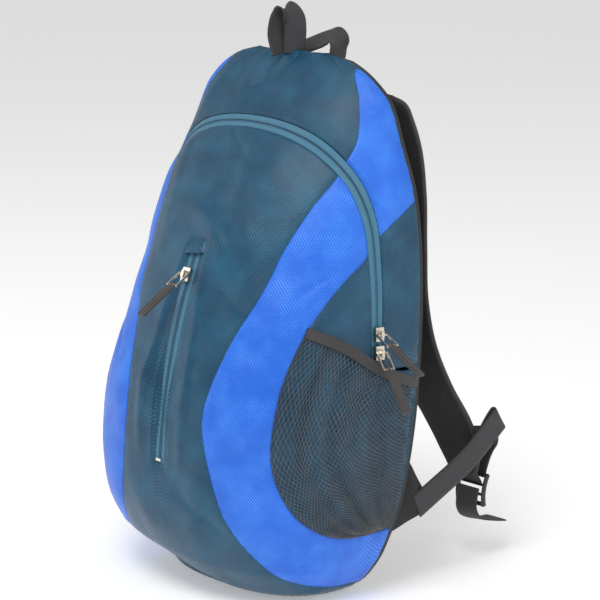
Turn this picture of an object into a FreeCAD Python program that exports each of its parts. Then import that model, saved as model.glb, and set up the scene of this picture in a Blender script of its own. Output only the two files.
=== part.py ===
import FreeCAD, Part
import math
import os
import Sketcher
from FreeCAD import Placement, Rotation, Vector

# A soft daypack. Units are millimetres, +Z is up, the front faces -Y and the wearer's back +Y.
# The origin is the middle of the flat patch that the bag stands on.

doc = FreeCAD.newDocument("daypack")
sheet = doc.addObject("Spreadsheet::Sheet", "sizes")

drivingSizes = {
    # the bag
    "bagHeight": 470, "bagHalfWidth": 141, "bagDepth": 168, "wall": 2,
    "backArcRadius": 1100, "backArcHeight": 300, "backArcY": 68, "seamGap": 0.3,
    "baseHeight": 16, "backPanelThick": 3, "backFoamThick": 6, "backMargin": 9,
    # main zip and the flap that it frees
    "zipLegEnd": 208, "hingeHeight": 300, "flapOpening": 40, "foldStart": 6, "foldSpare": 2,
    "tapeWidth": 7, "coilWidth": 2.2, "coilRise": 1.4, "railGap": 0.3,
    # front pocket and its zip
    "pocketZipTop": 306, "pocketZipLength": 180, "pocketTapeWidth": 13, "pocketZipRadius": 517,
    "pocketZipLowY": -111.4, "pocketZipLowZ": 92, "pocketBagDepth": 14, "pocketBagSet": 8,
    "pocketBagHalf": 46, "liningThick": 1.2,
    # side pockets
    "meshBulge": 8, "meshThick": 1.2, "bindingWidth": 9, "bindingThick": 2,
    # webbing, straps and their buckles
    "webbingWidth": 25, "webbingThick": 1.6, "strapWidth": 60, "strapThick": 10,
    "strapTopZ": 438, "strapSpacing": 80, "lockLength": 30, "lockWidth": 34, "lockThick": 4.5,
    "lockSlot": 4, "wingThick": 3,
    # sliders and pullers
    "sliderLength": 12, "sliderWidth": 9, "sliderPlate": 1.6, "channelWidth": 6.6,
    "channelDepth": 2.8, "bridgeRise": 4, "bridgeLength": 6, "bridgeWidth": 3, "eyeRadius": 1.3,
    "bailWidth": 12.6, "bailLength": 17, "bailRod": 1.5, "pullWidth": 9, "pullLength": 44,
    "pullThick": 2.4, "sliderPitch": 16,
    "sliderTravel": 48, "loopHeight": 46, "loopHalf": 7, "handleSpan": 76,
}
for row, (alias, value) in enumerate(drivingSizes.items(), start=1):
    sheet.set("A%d" % row, alias)
    sheet.set("B%d" % row, str(value))
    sheet.setAlias("B%d" % row, alias)
doc.recompute()


def size(alias):
    return float(sheet.get(alias))


bagHeight = size("bagHeight")
bagHalfWidth = size("bagHalfWidth")
bagDepth = size("bagDepth")
wall = size("wall")
seamGap = size("seamGap")
far = 3 * bagHeight


# ---------------------------------------------------------------- the bag's skin

# Each row: share of the height, then of the depth and half width, and the corner's superellipse power.
skinRows = [
    (0.000, 0.42, 0.68, 2.6), (0.030, 0.57, 0.79, 2.8), (0.085, 0.77, 0.89, 3.0),
    (0.210, 0.95, 0.98, 3.0), (0.360, 1.00, 1.00, 3.0), (0.530, 0.905, 0.993, 2.6),
    (0.640, 0.80, 0.978, 2.2), (0.745, 0.637, 0.943, 2.1), (0.850, 0.417, 0.844, 2.0),
    (0.915, 0.25, 0.78, 2.0), (0.957, 0.14, 0.65, 2.0), (0.985, 0.07, 0.49, 2.0), (1.0, 0.03, 0.30, 2.0),
]


def smoothThrough(xs, ys):
    # monotone cubic through the rows: the tangent at a row is the harmonic mean of its two slopes
    slopes = [(ys[i + 1] - ys[i]) / (xs[i + 1] - xs[i]) for i in range(len(xs) - 1)]
    tangents = [slopes[0]]
    for before, after in zip(slopes, slopes[1:]):
        tangents.append(2 * before * after / (before + after) if before * after > 0 else 0.0)
    tangents.append(slopes[-1])

    def value(x):
        i = max(0, min(len(xs) - 2, sum(1 for k in xs if k < x) - 1))
        step = xs[i + 1] - xs[i]
        s = (x - xs[i]) / step
        return ((1 + 2 * s) * (1 - s) ** 2 * ys[i] + s * (1 - s) ** 2 * step * tangents[i]
                + s * s * (3 - 2 * s) * ys[i + 1] + s * s * (s - 1) * step * tangents[i + 1])
    return value


heights = [bagHeight * row[0] for row in skinRows]
depthAt = smoothThrough(heights, [bagDepth * row[1] for row in skinRows])
halfWidthAt = smoothThrough(heights, [bagHalfWidth * row[2] for row in skinRows])
powerAt = smoothThrough(heights, [row[3] for row in skinRows])


def backY(z):
    # the bag's back is one shallow arc, so that it follows the wearer's back
    radius = size("backArcRadius")
    return size("backArcY") - radius + math.sqrt(radius ** 2 - (z - size("backArcHeight")) ** 2)


def skinPoint(turn, z, grow=0.0):
    # turn 0 is the right back edge, 0.5 the middle of the front, 1 the left back edge
    c, s = math.cos(math.pi * turn), math.sin(math.pi * turn)
    power = 2 / powerAt(z)
    x = (halfWidthAt(z) + grow) * math.copysign(abs(c) ** power, c)
    placed = -grow + z * (bagHeight + 2 * grow) / bagHeight
    return Vector(x, backY(placed) - (depthAt(z) + grow) * max(s, 0.0) ** power, placed)


def frontY(z):
    return backY(z) - depthAt(z)


def skinX(y, z):
    # half width of the skin where it passes depth y at height z
    share = min(1.0, max(0.0, (backY(z) - y) / depthAt(z)))
    return halfWidthAt(z) * (1 - share ** powerAt(z)) ** (1 / powerAt(z))


def skinSolid(grow, openBack=False):
    # sections at rising heights, lofted; an open one runs on past the back
    steps = 16
    sections = []
    for share in (0, 0.03, 0.085, 0.17, 0.26, 0.36, 0.45, 0.53, 0.61, 0.69, 0.77, 0.85, 0.91, 0.955, 0.985, 1):
        z = bagHeight * share
        points = [skinPoint(k / steps, z, grow) for k in range(steps + 1)]
        curve = Part.BSplineCurve()
        curve.interpolate(points)
        first, last = points[0], points[-1]
        edges = [curve.toShape()]
        rear = far / 3 if openBack else first.y
        if openBack:
            corners = [last, Vector(last.x, rear, last.z), Vector(first.x, rear, first.z), first]
        else:
            corners = [last, first]
        edges += [Part.LineSegment(a, b).toShape() for a, b in zip(corners, corners[1:])]
        sections.append(Part.Wire(edges))
    return Part.makeLoft(sections, True, False)


# ---------------------------------------------------------------- cutters

def splineThrough(points):
    curve = Part.BSplineCurve()
    curve.interpolate(points)
    return curve.toShape()


def prismX(outline, smooth, low=-far, high=far):
    # outline: (y, z) corners; the first "smooth" of them lie on one smooth curve
    points = [Vector(low, y, z) for y, z in outline]
    return prism(points, smooth, Vector(high - low, 0, 0))


def prism(points, smooth, sweep):
    edges = []
    if smooth > 2:
        edges.append(splineThrough(points[:smooth]))
    straight = points[max(smooth - 1, 0):] + points[:1] if smooth > 2 else points + points[:1]
    edges += [Part.LineSegment(a, b).toShape() for a, b in zip(straight, straight[1:])]
    return Part.Face(Part.Wire(edges)).extrude(sweep)


def slab(low, high, axis):
    # everything between two levels of one axis (0 = x, 1 = y, 2 = z)
    corner, extent = [-far] * 3, [2 * far] * 3
    corner[axis], extent[axis] = low, high - low
    return Part.makeBox(extent[0], extent[1], extent[2], Vector(*corner))


def mirrored(shape):
    return shape.mirror(Vector(0, 0, 0), Vector(1, 0, 0))


# Seams are given at the bag's first sizes and follow its width, depth and height.
def acrossWidth(x):
    return x * bagHalfWidth / 141


def alongDepth(y):
    return size("backArcY") + (y - 68) * bagDepth / 168


def upHeight(z):
    return z * bagHeight / 470


def frontSeam(pairs):
    return [(acrossWidth(x), upHeight(z)) for x, z in pairs]


def sideSeam(pairs):
    return [(alongDepth(y), upHeight(z)) for y, z in pairs]


# wave seam between the front and the bright panel, (x, z) from the zip arch down to the base
waveInner = frontSeam([(106, 480), (103, 420), (99, 372), (91, 348), (82, 314), (75, 274), (63, 240), (53, 200),
                       (50, 170), (57, 136), (69, 98), (84, 64), (100, 30), (112, 4)])
# seam between the bright panel and the side, (y, z) from the zip down and round to the back edge
waveOuter = sideSeam([(24, 322), (12, 306), (-2, 294), (-21, 276), (-41, 252), (-56, 228), (-69, 202),
                      (-78, 170), (-80, 140), (-75, 116), (-64, 94), (-46, 78), (-22, 67), (20, 62), (90, 58)])
# seam between hood and upper side panel, (x, z) from the arch up to the top edge
hoodSeam = frontSeam([(96, 352), (100, 384), (102, 398), (100, 414), (92, 436), (78, 456), (60, 490)])
# lower edge of the upper side panel, (y, z) from the zip back
upperSideLow = sideSeam([(0, 306), (29, 326), (53, 342), (90, 362)])
# the line of the main zip in side view, (y, z), from below its legs to above its arch
zipLine = sideSeam([(14, 150), (15, 208), (17, 250), (20, 290), (21, 326), (17, 362), (10, 390), (3, 412),
                    (-6, 440), (-12, 490), (-14, 540)])
# top edge of the side pockets, (y, z)
pocketEdge = sideSeam([(-60, 256), (-40, 247), (-16, 233), (12, 213), (45, 198), (90, 180)])


def behindZip(shift):
    outline = [(y + shift, z) for y, z in zipLine]
    return prismX(outline + [(far, outline[-1][1]), (far, outline[0][1])], len(outline))


def above(level):
    return slab(level, far, 2)


def below(level):
    return slab(-far, level, 2)


zipLegEnd = size("zipLegEnd")
hingeHeight = size("hingeHeight")
zipY = smoothThrough([z for y, z in zipLine], [y for y, z in zipLine])
hingeY = zipY(hingeHeight)


def wedge(lowAngle, highAngle):
    # the space between two planes through the fold's axis, in front of it
    reach = far / 2
    corners = [(hingeY, hingeHeight)]
    for angle in (lowAngle, highAngle):
        tilt = math.radians(angle)
        corners.append((hingeY - reach * math.cos(tilt), hingeHeight + reach * math.sin(tilt)))
    return prismX(corners, 0)


foldStart = size("foldStart")
foldEnd = foldStart + size("flapOpening") + size("foldSpare")
foldSpace = wedge(foldStart, foldEnd)
flapSpace = wedge(foldEnd + 0.2, 100)
fixedSpace = wedge(-89, foldStart - 0.2).fuse(below(hingeHeight - 0.2))

outerSkin = skinSolid(0)
shell = outerSkin.cut(skinSolid(-wall, True))


def insideSeam(seam, inset):
    # everything between a seam and its mirror image, drawn back by inset
    right = [(x - inset, z) for x, z in seam]
    points = [Vector(x, -far, z) for x, z in right]
    left = [Vector(-p.x, p.y, p.z) for p in reversed(points)]
    edges = [splineThrough(points), Part.LineSegment(points[-1], left[0]).toShape(),
             splineThrough(left), Part.LineSegment(left[-1], points[0]).toShape()]
    return Part.Face(Part.Wire(edges)).extrude(Vector(0, 2 * far, 0))


def behindSeam(seam, inset):
    # everything behind a side seam: towards the back and inside the curve
    outline = [(y + inset, z) for y, z in seam]
    return prismX(outline + [(far, outline[-1][1]), (far, outline[0][1])], len(outline))


def pieces(shape):
    # the largest solids of a cut, without splinters
    solids = [s for s in shape.Solids if s.Volume > 20]
    return solids[0] if len(solids) == 1 else Part.makeCompound(solids)


def one(side, shape):
    # one side's half of a mirrored pair
    return pieces(shape.common(slab(0.05, far, 0) if side == "right" else slab(-far, -0.05, 0)))


parts = {}


def addShape(name, shape):
    # a piece of cloth or foam whose form no feature draws
    feature = doc.addObject("Part::Feature", name)
    feature.Label = name
    feature.Shape = shape
    feature.Placement = Placement()
    parts[name] = feature
    return feature


half = seamGap / 2
tape = size("tapeWidth")
rail = size("railGap")
baseHeight = size("baseHeight")
zipBand = behindZip(-tape).common(above(zipLegEnd))
rearSpace = behindZip(tape).common(above(zipLegEnd))
body = shell.common(above(baseHeight + half))
forward = body.cut(zipBand)
core = insideSeam(waveInner, half)
coreWide = insideSeam(waveInner, -half)
centre = forward.cut(behindZip(-tape)).common(core)
pocketZipTop = size("pocketZipTop")
pocketZipLow = pocketZipTop - size("pocketZipLength")
slotHalf = size("pocketTapeWidth") / 2
pocketSlot = slab(-slotHalf - half, slotHalf + half, 0).common(
    slab(pocketZipLow, pocketZipTop, 2)).common(slab(-far, 0, 1))


# ---------------------------------------------------------------- cloth panels of the bag

addShape("base_panel", pieces(shell.common(below(baseHeight - half))))
addShape("front_panel", pieces(centre.common(fixedSpace).cut(pocketSlot)))
addShape("front_fold", pieces(centre.common(foldSpace)))
addShape("flap_panel", pieces(centre.common(flapSpace)))

waves = forward.cut(coreWide).cut(behindSeam(waveOuter, -half))
sides = forward.common(behindSeam(waveOuter, half))
outerFront = forward.cut(coreWide).cut(behindZip(-tape))


def aboveSeam(lift):
    # the half space over the upper side's lower seam, moved up by lift
    raised = [(y, z + lift) for y, z in upperSideLow]
    return prismX(raised + [(raised[-1][0], far), (raised[0][0], far)], len(raised))


rear = body.common(rearSpace)
hoodCore = insideSeam(hoodSeam, half).common(above(upHeight(352)))
hoodCoreWide = insideSeam(hoodSeam, -half).common(above(upHeight(352)))
gussets = rear.cut(aboveSeam(-half))
upperSides = rear.common(aboveSeam(half)).cut(hoodCoreWide)
addShape("hood_panel", pieces(rear.common(hoodCore)))

# the sliders' straight path up the right leg: along it, off the cloth and across it
legTop, legLow = upHeight(300), upHeight(236)
legY = zipY(legLow)
rightLegX = skinX(legY, legLow)
slope = (skinX(zipY(legTop), legTop) - rightLegX) / (legTop - legLow)
leanY = (zipY(legTop) - legY) / (legTop - legLow)
along = Vector(slope, leanY, 1).normalize()
normal = Vector(1, -0.10, -slope).normalize()
across = along.cross(normal)
flangeLift = size("coilRise") - 1.0 + seamGap
upperAt = Vector(rightLegX, legY, legLow) + normal * flangeLift + along * 6
lowerAt = upperAt - along * size("sliderPitch")


def slidePath(clearance):
    # the room that both sliders sweep, with clearance under and beside their flanges
    wide = size("sliderWidth") + 2 * clearance
    long = size("sliderPitch") + size("sliderTravel") + 2 * size("sliderLength")
    room = Part.makeBox(wide, long, 3 * size("sliderLength"), Vector(-wide / 2, -size("sliderLength"), -clearance))
    facing = (normal - along * normal.dot(along)).normalize()
    room.Placement = Placement(lowerAt, Rotation(along.cross(facing), along, facing, "ZYX"))
    return room


tapeRear = body.common(zipBand).common(behindZip(rail)).cut(behindZip(tape - rail))
tapeFront = body.common(zipBand).common(behindZip(-tape + rail)).cut(behindZip(-rail))
tapeRear, tapeFront = (band.cut(slidePath(0.4)) for band in (tapeRear, tapeFront))
coilShell = skinSolid(size("coilRise") + 0.2).cut(skinSolid(0.2, True)).common(above(zipLegEnd + 4))
coilWide = size("coilWidth") + rail
coilRear = coilShell.common(behindZip(rail)).cut(behindZip(coilWide))
coilFront = coilShell.common(behindZip(-coilWide)).cut(behindZip(-rail))
addShape("main_zip_tape_rear", pieces(tapeRear))
addShape("main_zip_tape_legs", pieces(tapeFront.common(fixedSpace)))
addShape("main_zip_tape_flap", pieces(tapeFront.common(flapSpace)))
addShape("main_zip_coil_rear", pieces(coilRear))
addShape("main_zip_coil_legs", pieces(coilFront.common(fixedSpace)))
addShape("main_zip_coil_flap", pieces(coilFront.common(flapSpace)))

# the side pockets: mesh standing off the side, closed at the front, the bottom and the back edge
bulge, meshThick = size("meshBulge"), size("meshThick")
binding, bindingThick = size("bindingWidth"), size("bindingThick")


def belowPocketEdge(drop):
    lowered = [(y, z - drop) for y, z in pocketEdge]
    return prismX(lowered + [(lowered[-1][0], -far), (lowered[0][0], -far)], len(lowered))


def pocketRegion(inset):
    return behindSeam([(y + inset, z + inset) for y, z in waveOuter], 1).common(
        slab(-far, backY(upHeight(120)) - 9 - inset, 1)).common(slab(upHeight(66) + inset, far, 2))


bulgeOuter, bulgeInner = skinSolid(bulge + meshThick), skinSolid(bulge, True)
pocketRaised = bulgeOuter.cut(bulgeInner)
pocketRim = bulgeOuter.cut(skinSolid(seamGap, True))
pocketMesh = pocketRaised.common(pocketRegion(0)).fuse(
    pocketRim.common(pocketRegion(0)).cut(pocketRegion(meshThick))).common(belowPocketEdge(binding))
bindingShell = skinSolid(bulge + bindingThick).cut(bulgeInner)
pocketBinding = bindingShell.common(pocketRegion(0)).common(belowPocketEdge(0)).cut(
    belowPocketEdge(binding - seamGap))

panelThick, foamThick = size("backPanelThick"), size("backFoamThick")


def arcBand(near, beyond):
    # a band that follows the back's arc, between two distances behind it
    zs = [-10, bagHeight / 2, bagHeight + 10]
    inner = [Vector(-far / 2, backY(z) + near, z) for z in zs]
    outer = [Vector(-far / 2, backY(z) + beyond, z) for z in zs]
    edges = [Part.Arc(*inner).toShape(), Part.LineSegment(inner[2], outer[2]).toShape(),
             Part.Arc(*outer[::-1]).toShape(), Part.LineSegment(outer[0], inner[0]).toShape()]
    return Part.Face(Part.Wire(edges)).extrude(Vector(far, 0, 0))


def outlineSolid(margin, low, high):
    # the bag's outline seen from behind, drawn in by a margin and taken through along Y
    steps = 16
    zs = [low + (high - low) * k / steps for k in range(steps + 1)]
    right = [Vector(halfWidthAt(z) - margin, -far, z) for z in zs]
    left = [Vector(-p.x, p.y, p.z) for p in reversed(right)]
    edges = [splineThrough(right), Part.LineSegment(right[-1], left[0]).toShape(),
             splineThrough(left), Part.LineSegment(left[-1], right[0]).toShape()]
    return Part.Face(Part.Wire(edges)).extrude(Vector(0, 2 * far, 0))


bindingEdge = 4
backLow, backHigh = 5, bagHeight - 4
foamLow, foamTop = 22, bagHeight - 42
plate = arcBand(seamGap, seamGap + panelThick)
backOutline = outlineSolid(bindingEdge, backLow + bindingEdge, backHigh - bindingEdge)
addShape("back_panel", pieces(plate.common(backOutline)))
addShape("edge_binding", pieces(plate.common(outlineSolid(-0.5, backLow, backHigh)).cut(
    outlineSolid(bindingEdge - seamGap, backLow + bindingEdge - seamGap, backHigh - bindingEdge + seamGap))))
addShape("back_foam", pieces(arcBand(-seamGap - foamThick, -seamGap).common(
    outlineSolid(size("backMargin"), foamLow, foamTop))))

for side in ("right", "left"):
    addShape("wave_panel_" + side, one(side, waves.common(fixedSpace)))
    addShape("wave_fold_" + side, one(side, outerFront.common(foldSpace)))
    addShape("flap_wave_" + side, one(side, outerFront.common(flapSpace)))
    addShape("side_panel_" + side, one(side, sides.common(fixedSpace)))
    addShape("rear_gusset_" + side, one(side, gussets))
    addShape("upper_side_" + side, one(side, upperSides))
    addShape("pocket_mesh_" + side, one(side, pocketMesh))
    addShape("pocket_binding_" + side, one(side, pocketBinding))


# ---------------------------------------------------------------- stitched and moulded pieces

def originPlane(body, role):
    return [f for f in body.Origin.OriginFeatures if f.Role == role][0]


def newBody(name):
    body = doc.addObject("PartDesign::Body", name)
    body.Label = name
    parts[name] = body
    return body


def rectangle(body, name, plane, width, height, centre=("0", "0")):
    # a rectangle whose sizes and centre are expressions of the sheet
    sketch = body.newObject("Sketcher::SketchObject", name)
    sketch.AttachmentSupport = [(originPlane(body, plane), "")]
    sketch.MapMode = "FlatFace"
    corners = [Vector(-2, -1, 0), Vector(2, -1, 0), Vector(2, 1, 0), Vector(-2, 1, 0)]
    for a, b in zip(corners, corners[1:] + corners[:1]):
        sketch.addGeometry(Part.LineSegment(a, b), False)
    for k in range(4):
        sketch.addConstraint(Sketcher.Constraint("Coincident", k, 2, (k + 1) % 4, 1))
    for k, kind in enumerate(("Horizontal", "Vertical", "Horizontal", "Vertical")):
        sketch.addConstraint(Sketcher.Constraint(kind, k))
    limits = [("DistanceX", 0, 1, 0, 2, width), ("DistanceY", 1, 1, 1, 2, height)]
    for kind, g1, p1, g2, p2, formula in limits:
        index = sketch.addConstraint(Sketcher.Constraint(kind, g1, p1, g2, p2, 2.0))
        sketch.setExpression("Constraints[%d]" % index, formula)
    for kind, part, formula in (("DistanceX", centre[0], width), ("DistanceY", centre[1], height)):
        index = sketch.addConstraint(Sketcher.Constraint(kind, -1, 1, 2, 1, 1.0))
        sketch.setExpression("Constraints[%d]" % index, "(%s) + (%s) / 2" % (part, formula))
    return sketch


def circle(body, name, plane, radius, centre=("0", "0")):
    sketch = body.newObject("Sketcher::SketchObject", name)
    sketch.AttachmentSupport = [(originPlane(body, plane), "")]
    sketch.MapMode = "FlatFace"
    sketch.addGeometry(Part.Circle(Vector(0, 0, 0), Vector(0, 0, 1), 1), False)
    index = sketch.addConstraint(Sketcher.Constraint("Radius", 0, 1.0))
    sketch.setExpression("Constraints[%d]" % index, radius)
    for kind, formula in (("DistanceX", centre[0]), ("DistanceY", centre[1])):
        index = sketch.addConstraint(Sketcher.Constraint(kind, -1, 1, 0, 3, 1.0))
        sketch.setExpression("Constraints[%d]" % index, formula)
    return sketch


def raise_(body, name, sketch, length, midplane=False, offset=None):
    pad = body.newObject("PartDesign::Pad", name)
    pad.Profile = sketch
    pad.setExpression("Length", length)
    pad.Midplane = midplane
    if offset:
        sketch.setExpression("AttachmentOffset.Base.z", offset)
    return pad


def cutThrough(body, name, sketch, length):
    # a pocket both ways from the sketch; its volume shows that it cut something
    doc.recompute()
    before = body.Shape.Volume
    pocket = body.newObject("PartDesign::Pocket", name)
    pocket.Profile = sketch
    pocket.Midplane = True
    pocket.setExpression("Length", length)
    doc.recompute()
    if body.Shape.Volume >= before - 0.01:
        raise RuntimeError("%s cuts nothing" % name)
    return pocket


def sliderBody(name):
    # local axes: X across the zip, Y along it, Z out of the cloth; Z = 0 is the bottom of its flanges
    body = newBody(name)
    raise_(body, name + "_block", rectangle(body, name + "_plan", "XY_Plane", "sizes.sliderWidth",
           "sizes.sliderLength"), "sizes.channelDepth + sizes.sliderPlate")
    raise_(body, name + "_bridge", rectangle(body, name + "_bridge_plan", "XY_Plane",
           "sizes.bridgeWidth", "sizes.bridgeLength"),
           "sizes.channelDepth + sizes.sliderPlate + sizes.bridgeRise")
    cutThrough(body, name + "_channel", rectangle(body, name + "_channel_plan", "XZ_Plane",
               "sizes.channelWidth", "2 * sizes.channelDepth"), "3 * sizes.sliderLength")
    eye = "sizes.channelDepth + sizes.sliderPlate + sizes.bridgeRise / 2"
    cutThrough(body, name + "_eye", circle(body, name + "_eye_plan", "YZ_Plane", "sizes.eyeRadius",
               ("0", eye)), "2 * sizes.sliderWidth")
    return body


def bailBody(name):
    # a wire frame hanging from the eye: local origin in the eye, -Y towards the puller
    body = newBody(name)
    rod = "sizes.bailRod"
    raise_(body, name + "_frame", rectangle(body, name + "_outside", "XY_Plane", "sizes.bailWidth",
           "sizes.bailLength", ("0", "-sizes.bailLength / 2 + %s / 2" % rod)), rod, True)
    cutThrough(body, name + "_window", rectangle(body, name + "_inside", "XY_Plane",
               "sizes.bailWidth - 2 * %s" % rod, "sizes.bailLength - 2 * %s" % rod,
               ("0", "-sizes.bailLength / 2 + %s / 2" % rod)), "4 * %s" % rod)
    return body


def pullBody(name):
    # a folded ribbon puller: its neck is looped round the far rod of the frame
    body = newBody(name)
    raise_(body, name + "_ribbon", rectangle(body, name + "_plan", "XY_Plane", "sizes.pullWidth",
           "sizes.pullLength", ("0", "-sizes.bailLength + 2.6 * sizes.bailRod - sizes.pullLength / 2")),
           "sizes.pullThick", True)
    cutThrough(body, name + "_loop", rectangle(body, name + "_hole", "YZ_Plane",
               "sizes.bailRod + 0.2", "sizes.bailRod + 0.2",
               ("-sizes.bailLength + sizes.bailRod", "0")), "2 * sizes.pullWidth")
    return body


def stand(feature, origin, across, outward):
    # place a piece: its local X along across, its local Z along outward
    z = Vector(outward).normalize()
    x = (Vector(across) - z * Vector(across).dot(z)).normalize()
    feature.Placement = Placement(origin, Rotation(x, z.cross(x), z, "ZXY"))
    return feature.Placement


def swing(placement, angle, centre):
    # the same placement, then turned about its own local X through a point of the piece
    return placement.multiply(Placement(centre, Rotation(Vector(1, 0, 0), angle)))


eyeHeight = size("channelDepth") + size("sliderPlate") + size("bridgeRise") / 2


def zipFittings(label, origin, across, outward, restAngle):
    # a slider with its wire frame and ribbon; restAngle is how far the puller stands off the cloth
    sliderBody(label + "_slider")
    place = stand(parts[label + "_slider"], origin, across, outward)
    for build, suffix in ((bailBody, "_pull_frame"), (pullBody, "_pull_ribbon")):
        piece = build(label + suffix)
        piece.Placement = swing(place, -restAngle, Vector(0, 0, eyeHeight))


zipFittings("main_upper", upperAt, across, normal, 58)
zipFittings("main_lower", lowerAt, across, normal, 33)

# the front pocket's zip lies on one long arc, so that its slider turns about the arc's centre
zipRadius = size("pocketZipRadius")
zipCentre = Vector(0, size("pocketZipLowY") + zipRadius, size("pocketZipLowZ"))


def onPocketArc(z, out=0.0):
    rise = z - zipCentre.z
    return Vector(0, zipCentre.y - math.sqrt((zipRadius + out) ** 2 - rise ** 2), z)


def arcStrip(low, high, inner, outer, left, right):
    # a strip of the arc, between two distances out of it and two places across
    zs, start = [low, (low + high) / 2, high], Vector(left, 0, 0)
    near = [onPocketArc(z, inner) + start for z in zs]
    out = [onPocketArc(z, outer) + start for z in zs]
    edges = [Part.Arc(*near).toShape(), Part.LineSegment(near[2], out[2]).toShape(),
             Part.Arc(*out[::-1]).toShape(), Part.LineSegment(out[0], near[0]).toShape()]
    return Part.Face(Part.Wire(edges)).extrude(Vector(right - left, 0, 0))


stripLow, stripHigh = pocketZipLow + half, pocketZipTop - half
tapes = [arcStrip(stripLow, stripHigh, -1.4, 0, rail, slotHalf),
         arcStrip(stripLow, stripHigh, -1.4, 0, -slotHalf, -rail)]
addShape("pocket_zip_tape", Part.makeCompound(tapes))
coils = [arcStrip(stripLow + 4, stripHigh - 4, 0.05, size("coilRise"), rail, coilWide),
         arcStrip(stripLow + 4, stripHigh - 4, 0.05, size("coilRise"), -coilWide, -rail)]
addShape("pocket_zip_coil", Part.makeCompound(coils))
addShape("pocket_zip_stop", arcStrip(stripLow + 1, stripLow + 3.4, 0.1, 2.2, -3, 3))
lining = size("liningThick")
bagDeep = size("pocketBagDepth")
bagTop, bagLow = pocketZipTop - 4, pocketZipLow - 14
bagFront, bagSide = -wall - size("pocketBagSet"), size("pocketBagHalf")
bagRear = bagFront - bagDeep
pocketBag = arcStrip(bagLow, bagTop, bagRear, bagFront, -bagSide, bagSide).cut(
    arcStrip(bagLow + lining, bagTop - lining, bagRear + lining, bagFront - lining, -bagSide + lining,
             bagSide - lining)).cut(
    arcStrip(bagLow + 14, bagTop - 6, bagFront - 4, 0, -slotHalf, slotHalf))
addShape("front_pocket_bag", pieces(pocketBag))
sliderZ = pocketZipTop - 20
sliderAt = onPocketArc(sliderZ, 0.3)
outward = (sliderAt - zipCentre).normalize()
zipFittings("pocket", sliderAt, Vector(1, 0, 0), outward, 38)


# ---------------------------------------------------------------- straps

def band(centres, widths, thicks):
    # a flat strap through points in side view (x, y, z), its width along X
    points = [Vector(*p) for p in centres]
    sections = []
    for k, point in enumerate(points):
        before, after = points[max(k - 1, 0)], points[min(k + 1, len(points) - 1)]
        run = Vector(0, after.y - before.y, after.z - before.z).normalize()
        across, off = Vector(widths[k] / 2, 0, 0), Vector(0, -run.z, run.y) * (thicks[k] / 2)
        corners = [point - across - off, point + across - off, point + across + off,
                   point - across + off]
        sections.append(Part.makePolygon(corners + corners[:1]))
    return Part.makeLoft(sections, True)


backFaceY = seamGap + panelThick
spacing = size("strapSpacing")
strapTop = size("strapTopZ")
strapThick, strapWidth = size("strapThick"), size("strapWidth")
web, webThick = size("webbingWidth"), size("webbingThick")
pivotY = backY(strapTop) + backFaceY + 3.6
# the padded strap in side view: how far its middle stands behind its top, its height and its spread
strapRoute = [(0, strapTop, 0, 0.9, 0.55), (14, strapTop - 8, 0, 1, 0.8), (24, strapTop - 24, 0, 1, 1),
              (34, 390, 0, 1, 1), (41, 350, 0, 1, 1), (43, 300, 0, 1, 1), (45, 250, 1, 1, 1),
              (50, 212, 6, 1, 1), (62, 172, 16, 1, 1), (77, 138, 27, 0.97, 1), (86, 112, 34, 0.86, 0.9),
              (88, 94, 38, 0.62, 0.7), (88, 84, 40, 0.46, 0.45)]
strapCentres = [(spacing + dx, pivotY + dy, z) for dy, z, dx, w, t in strapRoute]
strap = band(strapCentres, [strapWidth * w for dy, z, dx, w, t in strapRoute],
             [strapThick * t for dy, z, dx, w, t in strapRoute])
endX, endY, endZ = strapCentres[-1]
lockLength, lockWidth, lockThick = size("lockLength"), size("lockWidth"), size("lockThick")
lockAt = Vector(endX + 4, endY + 8, endZ - 15)


def lockBody(name):
    body = newBody(name)
    raise_(body, name + "_plate", rectangle(body, name + "_plan", "XY_Plane", "sizes.lockWidth",
           "sizes.lockLength"), "sizes.lockThick", True)
    for k, shift in enumerate(("0.34", "0.06", "-0.22")):
        cutThrough(body, name + "_slot%d" % k, rectangle(body, name + "_slot_plan%d" % k, "XY_Plane",
                   "sizes.webbingWidth + 2", "sizes.lockSlot",
                   ("0", "%s * sizes.lockLength" % shift)), "4 * sizes.lockThick")
    return body


# the wing is a folded triangle of cloth at the lower back corner; the webbing leaves its outer edge
wingThick = size("wingThick")
wingX = halfWidthAt(upHeight(60)) + 1
wingTop, wingFoot, tipTop, tipFoot = upHeight(128), upHeight(54), upHeight(89), upHeight(71)
tipOut = 34


def seatY(z):
    # just clear of the back panel's outer face
    return backY(z) + panelThick + 6 * seamGap


wingOutline = [Vector(wingX, seatY(wingTop), wingTop), Vector(wingX, seatY(wingFoot), wingFoot),
               Vector(wingX, seatY(wingFoot) + tipOut + 6, tipFoot),
               Vector(wingX, seatY(wingFoot) + tipOut - 4, tipTop)]
addShape("strap_wing_right", Part.Face(Part.makePolygon(wingOutline + wingOutline[:1])).extrude(
    Vector(wingThick, 0, 0)))


def plateBetween(start, end, across, thick):
    # a flat length of webbing from start to end, its width along across
    run = end - start
    across = (across - run * (across.dot(run) / run.dot(run))).normalize() * web / 2
    off = run.cross(across).normalize() * thick / 2
    corners = [start - across - off, start + across - off, start + across + off, start - across + off]
    return Part.Face(Part.makePolygon(corners + corners[:1])).extrude(run)


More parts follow.
